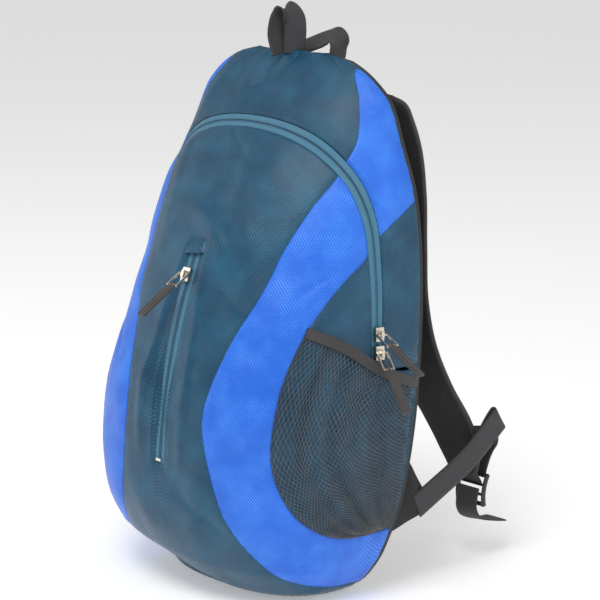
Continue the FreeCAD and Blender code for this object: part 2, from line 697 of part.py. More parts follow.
# the webbing passes outside the strap, folds behind it and comes down into the buckle
tipMiddle = (wingOutline[2] + wingOutline[3]) / 2 + Vector(wingThick + 2, 1, 0)
strapEdge = spacing + strapWidth / 2
foldAt = Vector(strapEdge + 40, endY + 14, endZ + 54)
outerRun = plateBetween(tipMiddle, foldAt, Vector(0, 0.55, -0.835), webThick)
innerRun = plateBetween(Vector(lockAt.x, foldAt.y + 3, foldAt.z - 2), Vector(lockAt.x, lockAt.y + 9, lockAt.z + 18),
                        Vector(1, 0, 0), webThick)
tailRoute = [(lockAt.x, lockAt.y - 6, lockAt.z - 6), (lockAt.x, lockAt.y - 7, lockAt.z - 18),
             (lockAt.x, lockAt.y, lockAt.z - 26), (lockAt.x, lockAt.y + 16, lockAt.z - 33),
             (lockAt.x, lockAt.y + 36, lockAt.z - 38)]
addShape("shoulder_strap_right", strap)
addShape("lower_webbing_right", Part.makeCompound([outerRun, innerRun]))
addShape("webbing_tail_right", band(tailRoute, [web] * len(tailRoute), [webThick] * len(tailRoute)))
lockBody("ladder_lock_right")
parts["ladder_lock_right"].Placement = Placement(lockAt, Rotation(Vector(1, 0, 0), 80))
for name in ("strap_wing", "shoulder_strap", "lower_webbing", "webbing_tail"):
    addShape(name + "_left", mirrored(parts[name + "_right"].Shape))
lockBody("ladder_lock_left")
parts["ladder_lock_left"].Placement = Placement(Vector(-lockAt.x, lockAt.y, lockAt.z),
                                                Rotation(Vector(1, 0, 0), 80))

# hang loop and grab handle, standing on the top seam
seamTop = bagHeight + 2.8
loopY = backY(bagHeight) - 8
hangWidth = web * 0.8
loopHalf = size("loopHalf")


def hangSolid():
    # a standing loop in side view: up one leg, over a half circle and down the other
    rise = seamTop + size("loopHeight") - loopHalf
    left = 4 - hangWidth / 2
    edges = []
    for radius in (loopHalf, loopHalf - webThick):
        feet = [Vector(left, loopY + k * radius, seamTop) for k in (-1, 1)]
        shoulders = [Vector(left, loopY + k * radius, rise) for k in (-1, 1)]
        edges += [Part.LineSegment(feet[0], shoulders[0]).toShape(),
                  Part.Arc(shoulders[0], Vector(left, loopY, rise + radius), shoulders[1]).toShape(),
                  Part.LineSegment(shoulders[1], feet[1]).toShape()]
    for k in (-1, 1):
        edges.append(Part.LineSegment(Vector(left, loopY + k * loopHalf, seamTop),
                                      Vector(left, loopY + k * (loopHalf - webThick), seamTop)).toShape())
    return Part.Face(Part.Wire(Part.__sortEdges__(edges))).extrude(Vector(hangWidth, 0, 0))


addShape("hang_loop", hangSolid())


def archSolid():
    # the grab handle: an arch of webbing across the top seam, its width leaning back
    span = size("handleSpan") / 2
    y0 = backY(bagHeight) + backFaceY + 6
    outer = [Vector(-span, y0, 446), Vector(0, y0, 486), Vector(span, y0, 446)]
    inner = [Vector(span - webThick * 1.3, y0, 446), Vector(0, y0, 486 - webThick),
             Vector(-span + webThick * 1.3, y0, 446)]
    edges = [Part.Arc(*outer).toShape(), Part.LineSegment(outer[2], inner[0]).toShape(),
             Part.Arc(*inner).toShape(), Part.LineSegment(inner[2], outer[0]).toShape()]
    return Part.Face(Part.Wire(edges)).extrude(Vector(0, web * 0.8, 0))


addShape("grab_handle", archSolid())


# ---------------------------------------------------------------- checks and export

doc.recompute()
for item in doc.Objects:
    if "Invalid" in item.State or "Error" in item.State:
        raise RuntimeError("%s: %s" % (item.Name, item.State))
for name, feature in parts.items():
    if feature.Shape.isNull() or not feature.Shape.isValid():
        raise RuntimeError("%s has no sound shape" % name)
os.makedirs("parts", exist_ok=True)
for name, feature in parts.items():
    feature.Shape.exportStep("parts/%s.step" % name)
print("%d pieces written" % len(parts))
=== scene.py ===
import math
import bpy
import numpy as np
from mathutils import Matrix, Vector


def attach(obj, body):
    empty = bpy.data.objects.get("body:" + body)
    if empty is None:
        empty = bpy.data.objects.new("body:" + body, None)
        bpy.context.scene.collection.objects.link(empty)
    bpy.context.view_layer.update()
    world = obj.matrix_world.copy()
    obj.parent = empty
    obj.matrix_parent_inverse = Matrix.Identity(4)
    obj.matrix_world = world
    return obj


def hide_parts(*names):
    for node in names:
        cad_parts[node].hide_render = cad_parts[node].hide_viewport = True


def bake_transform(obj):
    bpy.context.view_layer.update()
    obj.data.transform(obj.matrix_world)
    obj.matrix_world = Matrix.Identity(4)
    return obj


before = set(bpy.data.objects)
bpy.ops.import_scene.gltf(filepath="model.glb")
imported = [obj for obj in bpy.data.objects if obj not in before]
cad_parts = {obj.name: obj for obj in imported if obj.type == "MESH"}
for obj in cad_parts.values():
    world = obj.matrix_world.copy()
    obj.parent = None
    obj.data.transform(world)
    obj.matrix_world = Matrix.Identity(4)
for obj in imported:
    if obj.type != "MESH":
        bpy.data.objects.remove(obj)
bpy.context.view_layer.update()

print("stage: frame loaded")

mm = 0.001


# the bag's skin: the same outline as the frame's panels, in metres
bag = {"height": 0.470, "halfWidth": 0.141, "depth": 0.168,
       "backRadius": 1.1, "backArcZ": 0.300, "backArcY": 0.068, "girth": 0.52}
# the loaded bag slumps: its left side is drawn in at the waist and its left foot rides up
slump = {"draw": 0.006, "drawTurn": 0.77, "turnReach": 0.14, "drawZ": 0.235, "drawReach": 0.075,
         "lift": 0.017, "liftFade": 0.11}
# share of height, share of depth, share of half width, corner power
skinRows = np.array([
    (0.000, 0.42, 0.68, 2.6), (0.030, 0.57, 0.79, 2.8), (0.085, 0.77, 0.89, 3.0),
    (0.210, 0.95, 0.98, 3.0), (0.360, 1.00, 1.00, 3.0), (0.530, 0.905, 0.993, 2.6),
    (0.640, 0.80, 0.978, 2.2), (0.745, 0.637, 0.943, 2.1), (0.850, 0.417, 0.844, 2.0),
    (0.915, 0.25, 0.78, 2.0), (0.957, 0.14, 0.65, 2.0), (0.985, 0.07, 0.49, 2.0), (1.0, 0.03, 0.30, 2.0)])


def cubic(s, step, startValue, endValue, startSlope, endSlope):
    # Hermite cubic: the two values and the two slopes, each weighted by its own cubic of the share s
    return ((1 + 2 * s) * (1 - s) ** 2 * startValue + s * (1 - s) ** 2 * step * startSlope
            + s * s * (3 - 2 * s) * endValue + s * s * (s - 1) * step * endSlope)


def ease(share):
    # three squares less two cubes: a step from 0 to 1 with level ends
    return share * share * (3 - 2 * share)


def smoothRows(xs, ys):
    # monotone cubic: each row's tangent is the harmonic mean of the two slopes beside it, or 0 at a turn
    xs, ys = np.asarray(xs, float), np.asarray(ys, float)
    step, slope = np.diff(xs), np.diff(ys) / np.diff(xs)
    tangent = np.concatenate([slope[:1], np.zeros(len(xs) - 2), slope[-1:]])
    pair = slope[:-1] * slope[1:]
    tangent[1:-1] = np.where(pair > 0, 2 * pair / np.where(pair > 0, slope[:-1] + slope[1:], 1), 0)

    def value(x):
        i = np.clip(np.searchsorted(xs, x, side="left") - 1, 0, len(xs) - 2)
        s = (x - xs[i]) / step[i]
        return cubic(s, step[i], ys[i], ys[i + 1], tangent[i], tangent[i + 1])
    return value


rowHeights = bag["height"] * skinRows[:, 0]
depthAt = smoothRows(rowHeights, bag["depth"] * skinRows[:, 1])
halfWidthAt = smoothRows(rowHeights, bag["halfWidth"] * skinRows[:, 2])
powerAt = smoothRows(rowHeights, skinRows[:, 3])


def backY(z):
    # one shallow arc: centre line minus radius plus the circle's height above it
    return bag["backArcY"] - bag["backRadius"] + np.sqrt(bag["backRadius"] ** 2 - (z - bag["backArcZ"]) ** 2)


def skin(turn, z):
    # a superellipse section at each height: cosine and sine of the turn, each to the section's power;
    # the turn runs 0 to 1 from the right back edge round the front
    turn, z = np.broadcast_arrays(np.asarray(turn, float), np.asarray(z, float))
    z = np.clip(z, 0, bag["height"])
    c, s = np.cos(np.pi * turn), np.clip(np.sin(np.pi * turn), 0, 1)
    power = 2 / powerAt(z)
    left = np.exp(-((turn - slump["drawTurn"]) / slump["turnReach"]) ** 2)
    draw = -slump["draw"] * left * np.exp(-((z - slump["drawZ"]) / slump["drawReach"]) ** 2)
    x = (halfWidthAt(z) + draw) * np.sign(c) * np.abs(c) ** power
    y = backY(z) - (depthAt(z) + draw) * s ** power
    side = np.clip((-x - y - 0.01) / 0.13, 0, 1)
    lift = slump["lift"] * ease(side) * np.clip(1 - z / slump["liftFade"], 0, 1) ** 1.6
    return np.stack([x, y, z + lift], -1)


def skinNormal(turn, z):
    # cross product of the skin's two slopes, turned outwards
    a, b = 0.004, 0.002
    across = skin(np.clip(turn + a, 0, 1), z) - skin(np.clip(turn - a, 0, 1), z)
    up = skin(turn, np.clip(z + b, 0, bag["height"])) - skin(turn, np.clip(z - b, 0, bag["height"]))
    normal = np.cross(up, across)
    normal /= np.linalg.norm(normal, axis=-1, keepdims=True) + 1e-12
    inward = skin(turn, z) - np.array([0, 0.0, 0.22])
    sign = np.sign((normal * inward).sum(-1, keepdims=True))
    return normal * np.where(sign == 0, 1, sign)


def turnFromX(x, z):
    # solve the section for its angle where it reaches a half width
    share = np.clip(np.abs(x) / halfWidthAt(z), 0, 1) ** (powerAt(z) / 2)
    return np.arccos(share) / np.pi


def turnAt(x, z):
    # the same on either side of the middle: the left is the right's turn taken from one
    turn = turnFromX(x, z)
    return np.where(x < 0, 1 - turn, turn)


def turnFromY(y, z):
    # solve the section for its angle where it reaches a depth
    share = np.clip((backY(z) - y) / depthAt(z), 0, 1) ** (powerAt(z) / 2)
    return np.arcsin(share) / np.pi


# seams, in millimetres as the pattern gives them
seams = {
    "waveInnerLeft": [(106, 480), (103, 420), (99, 372), (91, 348), (82, 314), (74, 274), (60, 240),
                      (50, 200), (46, 170), (48, 136), (52, 98), (60, 64), (76, 30), (92, 4)],
    "waveInner": [(106, 480), (103, 420), (99, 372), (91, 348), (82, 314), (75, 274), (63, 240), (53, 200),
                  (50, 170), (57, 136), (69, 98), (84, 64), (100, 30), (112, 4)],
    "waveOuter": [(24, 322), (12, 306), (-2, 294), (-21, 276), (-41, 252), (-56, 228), (-69, 202), (-78, 170),
                  (-80, 140), (-75, 116), (-64, 94), (-46, 78), (-22, 67), (20, 62), (60, 60)],
    "hood": [(96, 352), (100, 384), (102, 398), (100, 414), (92, 436), (78, 456), (60, 490)],
    "upperSideLow": [(0, 306), (29, 326), (53, 342), (90, 362)],
    "zip": [(14, 150), (15, 208), (17, 250), (20, 290), (21, 326), (17, 362), (10, 390), (3, 412), (-6, 440)],
    "pocketEdge": [(-60, 256), (-40, 247), (-16, 233), (12, 213), (45, 198), (90, 180)],
}
zipSizes = {"legEnd": 0.208, "tape": 0.0061}


def through(points, count):
    # a centripetal-like cubic through the points, read at even steps of its length
    points = np.asarray(points, float)
    if len(points) == 2:
        return points[0] + (points[1] - points[0]) * np.linspace(0, 1, count)[:, None]
    at = np.concatenate([[0], np.cumsum(np.linalg.norm(np.diff(points, axis=0), axis=1) ** 0.5)])
    tangent = np.gradient(points, at, axis=0)
    fine = np.linspace(0, at[-1], 40 * len(points))
    i = np.clip(np.searchsorted(at, fine, side="right") - 1, 0, len(at) - 2)
    step = (at[i + 1] - at[i])[:, None]
    s = ((fine - at[i]) / (at[i + 1] - at[i]))[:, None]
    return evenly(cubic(s, step, points[i], points[i + 1], tangent[i], tangent[i + 1]), count)


def evenly(line, count):
    # the same line, with its points at even steps of length
    line = np.asarray(line, float)
    run = np.concatenate([[0], np.cumsum(np.linalg.norm(np.diff(line, axis=0), axis=1))])
    want = np.linspace(0, run[-1], count)
    return np.stack([np.interp(want, run, line[:, k]) for k in range(line.shape[1])], -1)


def seamXZ(name):
    # a seam given across and up, as (turn, height)
    line = through(seams[name], 300) * mm
    line = line[(line[:, 1] > 0) & (line[:, 1] < bag["height"])]
    return np.stack([turnFromX(line[:, 0], line[:, 1]), line[:, 1]], -1)


def seamYZ(name):
    # a seam given in depth and height, as (turn, height)
    line = through(seams[name], 300) * mm
    keep = (line[:, 0] < backY(line[:, 1])) & (line[:, 0] > backY(line[:, 1]) - depthAt(line[:, 1]))
    line = line[keep]
    return np.stack([turnFromY(line[:, 0], line[:, 1]), line[:, 1]], -1)


zipYof = smoothRows([p[1] * mm for p in seams["zip"]], [p[0] * mm for p in seams["zip"]])


def zipRail(shift, low):
    # the zip's line moved in depth by shift, as (turn, height) from low up the right leg to the apex
    zs = np.linspace(low, bag["height"] * 0.99, 6000)
    y = zipYof(zs) + shift
    reach = (backY(zs) - y) / depthAt(zs)
    top = int(np.argmax(reach >= 1)) if (reach >= 1).any() else len(zs)
    zs = zs[:top]
    return np.concatenate([np.stack([turnFromY(zipYof(zs) + shift, zs), zs], -1), [[0.5, zs[-1]]]])


def cutAt(line, other):
    # where two (turn, height) lines cross: the index of the nearest pair
    gap = np.linalg.norm((line[:, None] - other[None]) * np.array([0.5, 1.0]), axis=-1)
    return np.unravel_index(int(gap.argmin()), gap.shape)


def flip(line):
    # the mirror image on the left of the bag
    return np.stack([1 - line[:, 0], line[:, 1]], -1)


def joined(*lines):
    # lines end to end
    return np.concatenate(lines)


# meshes
def makeMesh(name, points, faces, uv=None, smooth=True):
    # points, faces and one flat coordinate per point, as an object in the scene
    mesh = bpy.data.meshes.new(name)
    faces = faces.tolist() if isinstance(faces, np.ndarray) else faces
    mesh.from_pydata(np.asarray(points, float).reshape(-1, 3).tolist(), [], faces)
    if uv is not None:
        layer = mesh.uv_layers.new(name="cloth")
        loops = np.zeros(len(mesh.loops), int)
        mesh.loops.foreach_get("vertex_index", loops)
        layer.data.foreach_set("uv", np.asarray(uv, float).reshape(-1, 2)[loops].ravel())
    mesh.polygons.foreach_set("use_smooth", np.full(len(mesh.polygons), smooth))
    mesh.update()
    piece = bpy.data.objects.new(name, mesh)
    bpy.context.collection.objects.link(piece)
    return piece


def gridFaces(rows, columns, wrapColumns=False):
    # quads between neighbours of a grid of points, counted row by row
    r = np.arange(rows - 1)[:, None]
    c = np.arange(columns if wrapColumns else columns - 1)[None]
    c2 = (c + 1) % columns
    corners = [r * columns + c, r * columns + c2, (r + 1) * columns + c2, (r + 1) * columns + c]
    return np.stack(corners, -1).reshape(-1, 4)


def gridPiece(name, grid, uv=None, flipFaces=False):
    # a sheet of quads through a grid of points
    faces = gridFaces(grid.shape[0], grid.shape[1])
    return makeMesh(name, grid, faces[:, ::-1] if flipFaces else faces, uv)


def finish(piece, material, body, replaced=()):
    # a piece gets its finish, the body it rides on and the frame's nodes that it stands for
    piece.data.materials.clear()
    piece.data.materials.append(material)
    if body:
        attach(piece, body)
    if replaced:
        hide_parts(*replaced)
    return piece


def modifier(piece, kind, **settings):
    # a modifier with its settings, by name
    made = piece.modifiers.new(kind.lower(), kind)
    for key, value in settings.items():
        setattr(made, key, value)
    return made


def subdivide(piece):
    # one level of smooth division
    return modifier(piece, "SUBSURF", levels=1, render_levels=1)


def patch(bottom, top, left, right, rows, columns):
    # Coons patch of four edges in (turn, height): the two ruled patches less the corners' bilinear one
    b, t = evenly(bottom, columns), evenly(top, columns)
    l, r = evenly(left, rows), evenly(right, rows)
    u, v = np.linspace(0, 1, columns)[None, :, None], np.linspace(0, 1, rows)[:, None, None]
    ruled = (1 - v) * b[None] + v * t[None] + (1 - u) * l[:, None] + u * r[:, None]
    corners = (1 - u) * (1 - v) * b[0] + u * (1 - v) * b[-1] + (1 - u) * v * t[0] + u * v * t[-1]
    return ruled - corners


def relief(turn, z):
    # folds of the slack cloth: broad soft swells plus a few creases where the cloth is pulled
    x = (turn - 0.5) * bag["girth"]
    swell = (1.7 * np.sin(31 * x + 9 * z + 0.6) * np.sin(17 * z + 1.1 + 6 * x)
             + 1.1 * np.sin(58 * x - 23 * z + 2.0 + 1.5 * np.sin(21 * z)) * np.sin(29 * z + 0.4 + 9 * x)
             + 0.55 * np.sin(97 * x + 61 * z + 2 * np.sin(33 * x)) * np.sin(63 * z - 30 * x + 1.0)
             - 1.3 * np.exp(-(np.sin(11 * x + 8 * z + 0.8 * np.sin(40 * z)) / 0.10) ** 2)
             * np.sin(19 * z + 7 * x) ** 2)
    for cx, cz, angle, length, width, height in creases:
        along = (x - cx) * math.cos(angle) + (z - cz) * math.sin(angle)
        off = -(x - cx) * math.sin(angle) + (z - cz) * math.cos(angle)
        swell = swell + height * np.exp(-(along / length) ** 2 - (off / width) ** 2)
    # the front zip lies in a flat valley between two soft lips
    swell = swell + 2.6 * np.exp(-((z - 0.198) / 0.016) ** 2) * np.exp(-((x - 0.012) / 0.055) ** 2)
    along = np.clip((z - 0.112) / 0.02, 0, 1) * np.clip((0.325 - z) / 0.02, 0, 1)
    valley = along * np.exp(-(x / 0.011) ** 4)
    lips = along * (1.5 + 0.9 * np.sin(40 * z)) * np.exp(-((np.abs(x) - 0.0135) / 0.0045) ** 2)
    swell = swell * (1 - valley) + lips - 0.9 * valley
    return swell * mm


# x and height of the middle in metres, direction, half length, half width, height in millimetres
creases = [
    (0.002, 0.334, 0.15, 0.030, 0.009, 5.0), (-0.020, 0.318, 0.5, 0.018, 0.006, 3.0),
    (-0.050, 0.330, 1.0, 0.045, 0.012, 2.0), (0.045, 0.318, -0.7, 0.05, 0.012, 1.6),
    (-0.060, 0.262, 0.5, 0.035, 0.009, 3.0), (-0.055, 0.245, 0.45, 0.035, 0.008, -2.5),
    (-0.045, 0.205, 0.35, 0.03, 0.008, 1.8), (0.020, 0.10, 1.2, 0.06, 0.012, 1.6),
    (-0.035, 0.10, 1.9, 0.06, 0.012, 1.4), (0.18, 0.268, -0.7, 0.03, 0.007, 2.4),
    (0.19, 0.246, -0.6, 0.03, 0.007, -2.2), (0.205, 0.29, -1.2, 0.03, 0.007, 1.8),
    (0.09, 0.36, 1.0, 0.05, 0.01, 1.2), (0.13, 0.43, 1.3, 0.05, 0.010, 1.4),
    (0.05, 0.44, 0.9, 0.05, 0.012, 1.8), (-0.03, 0.44, 0.4, 0.06, 0.012, 1.6),
]


# the front zip's one long arc: its centre behind the bag, and its radius
pocketArc = {"y": 0.4056, "z": 0.092, "radius": 0.517, "low": 0.118, "top": 0.318, "half": 0.0085,
             "under": 1.5 * mm}


def arcY(z, out=0.0):
    # the arc's depth at a height: centre less the circle's reach
    above = np.clip(z, 0.05, 0.34) - pocketArc["z"]
    return pocketArc["y"] - np.sqrt((pocketArc["radius"] + out) ** 2 - above ** 2)


def underZip(grid):
    # press the cloth in behind the zip's arc, fading out beside it and past its ends
    x, y, z = grid[..., 0], grid[..., 1], grid[..., 2]
    ends = np.clip((z - pocketArc["low"]) / 0.008, 0, 1) * np.clip((pocketArc["top"] - z) / 0.008, 0, 1)
    mask = ends * np.exp(-(x / pocketArc["half"]) ** 6)
    grid[..., 1] = y + mask * (np.maximum(y, arcY(z) + pocketArc["under"]) - y)
    return grid


def clothPanel(name, edges, rows, columns, puff, folds=1.0):
    # skin over a patch, stood off by a pillow that falls to nothing at the seams, plus the folds
    place = patch(*edges, rows, columns)
    turn, z = place[..., 0], place[..., 1]
    base = skin(turn, z)
    across = np.linalg.norm(np.diff(base, axis=1), axis=-1)
    up = np.linalg.norm(np.diff(base, axis=0), axis=-1)
    runX = np.concatenate([np.zeros((rows, 1)), np.cumsum(across, 1)], 1)
    runZ = np.concatenate([np.zeros((1, columns)), np.cumsum(up, 0)], 0)
    near = np.minimum(np.minimum(runX, runX[:, -1:] - runX), np.minimum(runZ, runZ[-1:] - runZ))
    pillow = 1 - np.exp(-near / 0.006)
    pucker = 0.16 * mm * np.sin((turn * bag["girth"] + z) * 420) * np.exp(-near / 0.005)
    rise = puff * pillow + folds * relief(turn, z) * (1 - np.exp(-near / 0.018)) + pucker
    grid = underZip(base + skinNormal(turn, z) * rise[..., None])
    uv = np.stack([(turn - 0.5) * bag["girth"], z], -1)
    return gridPiece(name, grid, uv)


# shader maths: a wrapped socket that adds Math nodes as expressions are written
class Wire:
    def __init__(self, tree, socket):
        self.tree, self.socket = tree, socket

    def maths(self, operation, *values):
        node = self.tree.nodes.new("ShaderNodeMath")
        node.operation = operation
        for k, value in enumerate((self,) + values):
            if isinstance(value, Wire):
                self.tree.links.new(value.socket, node.inputs[k])
            else:
                node.inputs[k].default_value = value
        return Wire(self.tree, node.outputs[0])

    def __add__(self, other):
        return self.maths("ADD", other)

    __radd__ = __add__

    def __mul__(self, other):
        return self.maths("MULTIPLY", other)

    __rmul__ = __mul__

    def __sub__(self, other):
        return self.maths("SUBTRACT", other)

    def __rsub__(self, other):
        return (self * -1) + other

    def __pow__(self, other):
        return self.maths("POWER", other)

    def sine(self):
        return self.maths("SINE")

    def absolute(self):
        return self.maths("ABSOLUTE")

    def most(self, other):
        return self.maths("MAXIMUM", other)

    def clip(self):
        return self.maths("MAXIMUM", 0.0).maths("MINIMUM", 1.0)


class Finish:
    # one material: node() makes any node from its type, its settings and its inputs
    def __init__(self, name, **shader):
        self.material = bpy.data.materials.new(name)
        self.material.use_nodes = True
        self.tree = self.material.node_tree
        self.shader = self.tree.nodes["Principled BSDF"]
        for key, value in shader.items():
            self.shader.inputs[key.replace("_", " ")].default_value = value

    def node(self, kind, settings=None, inputs=None, output=0):
        made = self.tree.nodes.new("ShaderNode" + kind)
        for key, value in (settings or {}).items():
            if key == "stops":
                ramp = made.color_ramp
                for k, (position, colour) in enumerate(value):
                    stop = ramp.elements[k] if k < 2 else ramp.elements.new(position)
                    stop.position, stop.color = position, colour
            else:
                setattr(made, key, value)
        for key, value in (inputs or {}).items():
            if isinstance(value, Wire):
                self.tree.links.new(value.socket, made.inputs[key])
            else:
                made.inputs[key].default_value = value
        return Wire(self.tree, made.outputs[output])

    def place(self, source="UV", scale=1000.0):
        # the three coordinates in millimetres
        point = self.node("TexCoord", output=source)
        parts = self.tree.nodes.new("ShaderNodeSeparateXYZ")
        self.tree.links.new(point.socket, parts.inputs[0])
        return [Wire(self.tree, out) * scale for out in parts.outputs]

    def noise(self, scale, detail=3.0, rough=0.55, source="Object"):
        return self.node("TexNoise", inputs={"Vector": self.node("TexCoord", output=source), "Scale": scale,
                                             "Detail": detail, "Roughness": rough})

    def mix(self, factor, first, second):
        return self.node("Mix", {"data_type": "RGBA"}, {0: factor, 6: first, 7: second}, 2)

    def feed(self, socket, wire):
        self.tree.links.new(wire.socket, self.shader.inputs[socket])

    def coat(self, tone, deep, mid, rough):
        # two colours mixed by a tone, and a roughness, both held between 0 and 1
        self.feed("Base Color", self.mix(tone.clip(), rgb(*deep), rgb(*mid)))
        self.feed("Roughness", rough.clip())

    def bump(self, height, distance, strength=1.0):
        made = self.node("Bump", inputs={"Strength": strength, "Distance": distance, "Height": height})
        self.feed("Normal", made)


def rgb(r, g, b):
    # a full-strength colour
    return (r, g, b, 1.0)


def ridges(run, pitch):
    # a sine from 0 to 1, once per pitch
    return (run * (2 * math.pi / pitch)).sine() * 0.5 + 0.5


def wovenCloth(name, deep, mid, light, rough, pitch, dots):
    # a dobby weave: staggered raised dots over close rows, the dots given a painted highlight colour in
    # drifting patches where they would catch the light
    f = Finish(name, Sheen_Weight=0.0, Specular_IOR_Level=0.36, Coat_Weight=0.05, Coat_Roughness=0.3)
    x, y, _ = f.place("UV")
    raised = ((x * (2 * math.pi / pitch)).sine() * (y * (2 * math.pi / pitch)).sine()).most(0.0) ** 0.7
    rows = ridges(y, pitch / 2)
    fine = (x * 7.0).sine() * (y * 7.0).sine()
    wear = f.noise(7.0, 4.0)
    cloudy = f.noise(38.0, 3.0)
    paintedGlintPatches = ((cloudy - 0.42) * 4.0).clip()
    tone = (rows * 0.22 + (cloudy - 0.5) * 1.3 + (wear - 0.5) * 1.1 + 0.42).clip()
    shade = f.mix(tone, rgb(*deep), rgb(*mid))
    # painted highlight: the raised dots are mixed towards the light colour inside noise patches, standing in
    # for light catching them
    shade = f.mix(raised * (paintedGlintPatches * 0.6 + 0.25) * dots, shade, rgb(*light))
    f.feed("Base Color", shade)
    f.feed("Roughness", (raised * -0.12 + rough + (wear - 0.5) * 0.16).clip())
    f.bump(raised * 0.8 + rows * 0.25 + fine * 0.1 + cloudy * 0.2, 0.0004, 0.5)
    return f.material


def tapeCloth(name, deep, mid, rough=0.6, rib=0.9):
    # a ribbed tape: fine ribs across, with a faint herringbone
    f = Finish(name, Sheen_Weight=0.08, Sheen_Roughness=0.5)
    x, y, _ = f.place("UV")
    ribs, twill = ridges(y, rib), ridges(x + y, rib * 1.5)
    cloudy = f.noise(60.0)
    f.coat(ribs * 0.4 + twill * 0.3 + cloudy * 0.4, deep, mid, cloudy * 0.2 + rough - 0.1)
    f.bump(ribs * 0.6 + twill * 0.4, 0.0003, 0.6)
    return f.material


def webbingCloth(name, deep, mid):
    # heavy webbing: a chevron twill with a dense edge, along the strap's own length
    f = Finish(name, Sheen_Weight=0.08, Sheen_Roughness=0.5)
    x, y, _ = f.place("UV")
    chevron, cord = ridges(y + (x * 0.5).sine() * 1.2, 1.6), ridges(x, 1.25)
    cloudy = f.noise(70.0)
    f.coat(chevron * 0.35 + cord * 0.25 + cloudy * 0.5, deep, mid, cloudy * 0.2 + 0.55)
    f.bump(chevron * 0.6 + cord * 0.5, 0.0005, 0.8)
    return f.material


def spacerMesh(name):
    # knitted spacer mesh: a staggered field of small round dimples
    f = Finish(name, Sheen_Weight=0.08, Sheen_Roughness=0.6)
    x, y, z = f.place("Object")
    a = ((x + y * 0.6) * (2 * math.pi / 3.0)).sine()
    b = (z * (2 * math.pi / 3.0)).sine()
    hole = (a * b).absolute() ** 0.6
    cloudy = f.noise(40.0)
    f.coat(hole * 0.7 + cloudy * 0.3, (0.003, 0.0035, 0.004), (0.014, 0.015, 0.018), cloudy * 0.15 + 0.75)
    f.bump(hole, 0.0008, 0.8)
    return f.material


def plainBlack(name, deep, mid, rough):
    # close plain weave
    f = Finish(name, Sheen_Weight=0.08, Sheen_Roughness=0.5)
    x, y, z = f.place("Object")
    weave = ((x + y) * 5.0).sine() * (z * 5.0).sine()
    cloudy = f.noise(30.0)
    f.coat(weave * 0.25 + cloudy * 0.8, deep, mid, cloudy * 0.15 + rough)
    f.bump(weave + cloudy, 0.0003, 0.5)
    return f.material


def platedMetal(name):
    # pale plated zinc, its roughness and surface rubbed in random noise patches
    f = Finish(name, Metallic=1.0)
    cloudy = f.noise(160.0, 4.0)
    wear = f.noise(420.0, 2.0)
    f.feed("Base Color", f.mix(cloudy, rgb(0.62, 0.55, 0.44), rgb(0.88, 0.84, 0.76)))
    f.feed("Roughness", (cloudy * 0.2 + wear * 0.1 + 0.08).clip())
    f.bump(wear, 0.0001, 0.25)
    return f.material


def pullerRubber(name):
    # ribbon coated in soft rubber, slightly dusty
    f = Finish(name, Sheen_Weight=0.15, Specular_IOR_Level=0.4)
    x, y, z = f.place("Object")
    grain = ((x + y) * 4.5).sine() * (z * 4.5).sine()
    cloudy = f.noise(90.0)
    f.coat(cloudy * 0.9 + grain * 0.1, (0.022, 0.018, 0.017), (0.085, 0.074, 0.070), cloudy * 0.25 + 0.4)
    f.bump(grain + cloudy * 0.5, 0.0002, 0.5)
    return f.material


def mouldedPlastic(name):
    # moulded acetal with a faint spark-eroded grain
    f = Finish(name, Specular_IOR_Level=0.5)
    grain = f.noise(900.0, 2.0)
    cloudy = f.noise(60.0)
    f.feed("Base Color", f.mix(cloudy, rgb(0.012, 0.013, 0.015), rgb(0.03, 0.032, 0.036)))
    f.feed("Roughness", (grain * 0.15 + 0.36).clip())
    f.bump(grain, 0.0001, 0.3)
    return f.material


def netYarn(name):
    # dark nylon yarn with a painted grey highlight mixed in random patches
    f = Finish(name, Sheen_Weight=0.3)
    cloudy = f.noise(120.0)
    # painted highlight: a mid grey mixed into the dark yarn by noise
    f.feed("Base Color", f.mix(cloudy, rgb(0.012, 0.014, 0.017), rgb(0.15, 0.16, 0.17)))
    f.feed("Roughness", (cloudy * 0.2 + 0.5).clip())
    return f.material


# deep and middle colours, painted highlight colour on the raised dots, roughness, dot pitch in millimetres,
# strength of the painted highlight on the dots
tealCloth = wovenCloth("tealCloth", (0.003, 0.036, 0.085), (0.008, 0.078, 0.150), (0.045, 0.24, 0.36),
                       0.36, 3.4, 0.6)
blueCloth = wovenCloth("blueCloth", (0.006, 0.100, 0.60), (0.016, 0.160, 0.80), (0.13, 0.44, 1.0),
                       0.40, 3.4, 0.8)
zipTapeCloth = tapeCloth("zipTapeCloth", (0.030, 0.125, 0.205), (0.065, 0.22, 0.34))
zipCoilNylon = tapeCloth("zipCoilNylon", (0.014, 0.065, 0.115), (0.05, 0.17, 0.27), 0.4, 1.1)
edgeTapeCloth = tapeCloth("edgeTapeCloth", (0.012, 0.05, 0.09), (0.03, 0.11, 0.18))
webbingDark = webbingCloth("webbingDark", (0.012, 0.012, 0.014), (0.046, 0.046, 0.052))
bindingDark = webbingCloth("bindingDark", (0.018, 0.016, 0.017), (0.060, 0.054, 0.054))
edgeBlack = webbingCloth("edgeBlack", (0.006, 0.006, 0.007), (0.022, 0.021, 0.022))
airMesh = spacerMesh("airMesh")
blackCloth = plainBlack("blackCloth", (0.004, 0.004, 0.005), (0.016, 0.016, 0.018), 0.7)
liningCloth = plainBlack("liningCloth", (0.02, 0.022, 0.025), (0.05, 0.055, 0.06), 0.6)
metal = platedMetal("platedMetal")
rubberRibbon = pullerRubber("rubberRibbon")
plastic = mouldedPlastic("mouldedPlastic")
netNylon = netYarn("netNylon")
print("stage: materials made")


# cloth panels
foot = 0.003
# heights at which the seams meet the back edge
backEdgeZ = {"sideTop": 0.203, "waveTop": 0.060, "sideLow": 0.062, "upperLow": 0.352, "hoodLow": 0.457,
             "top": 0.4699}
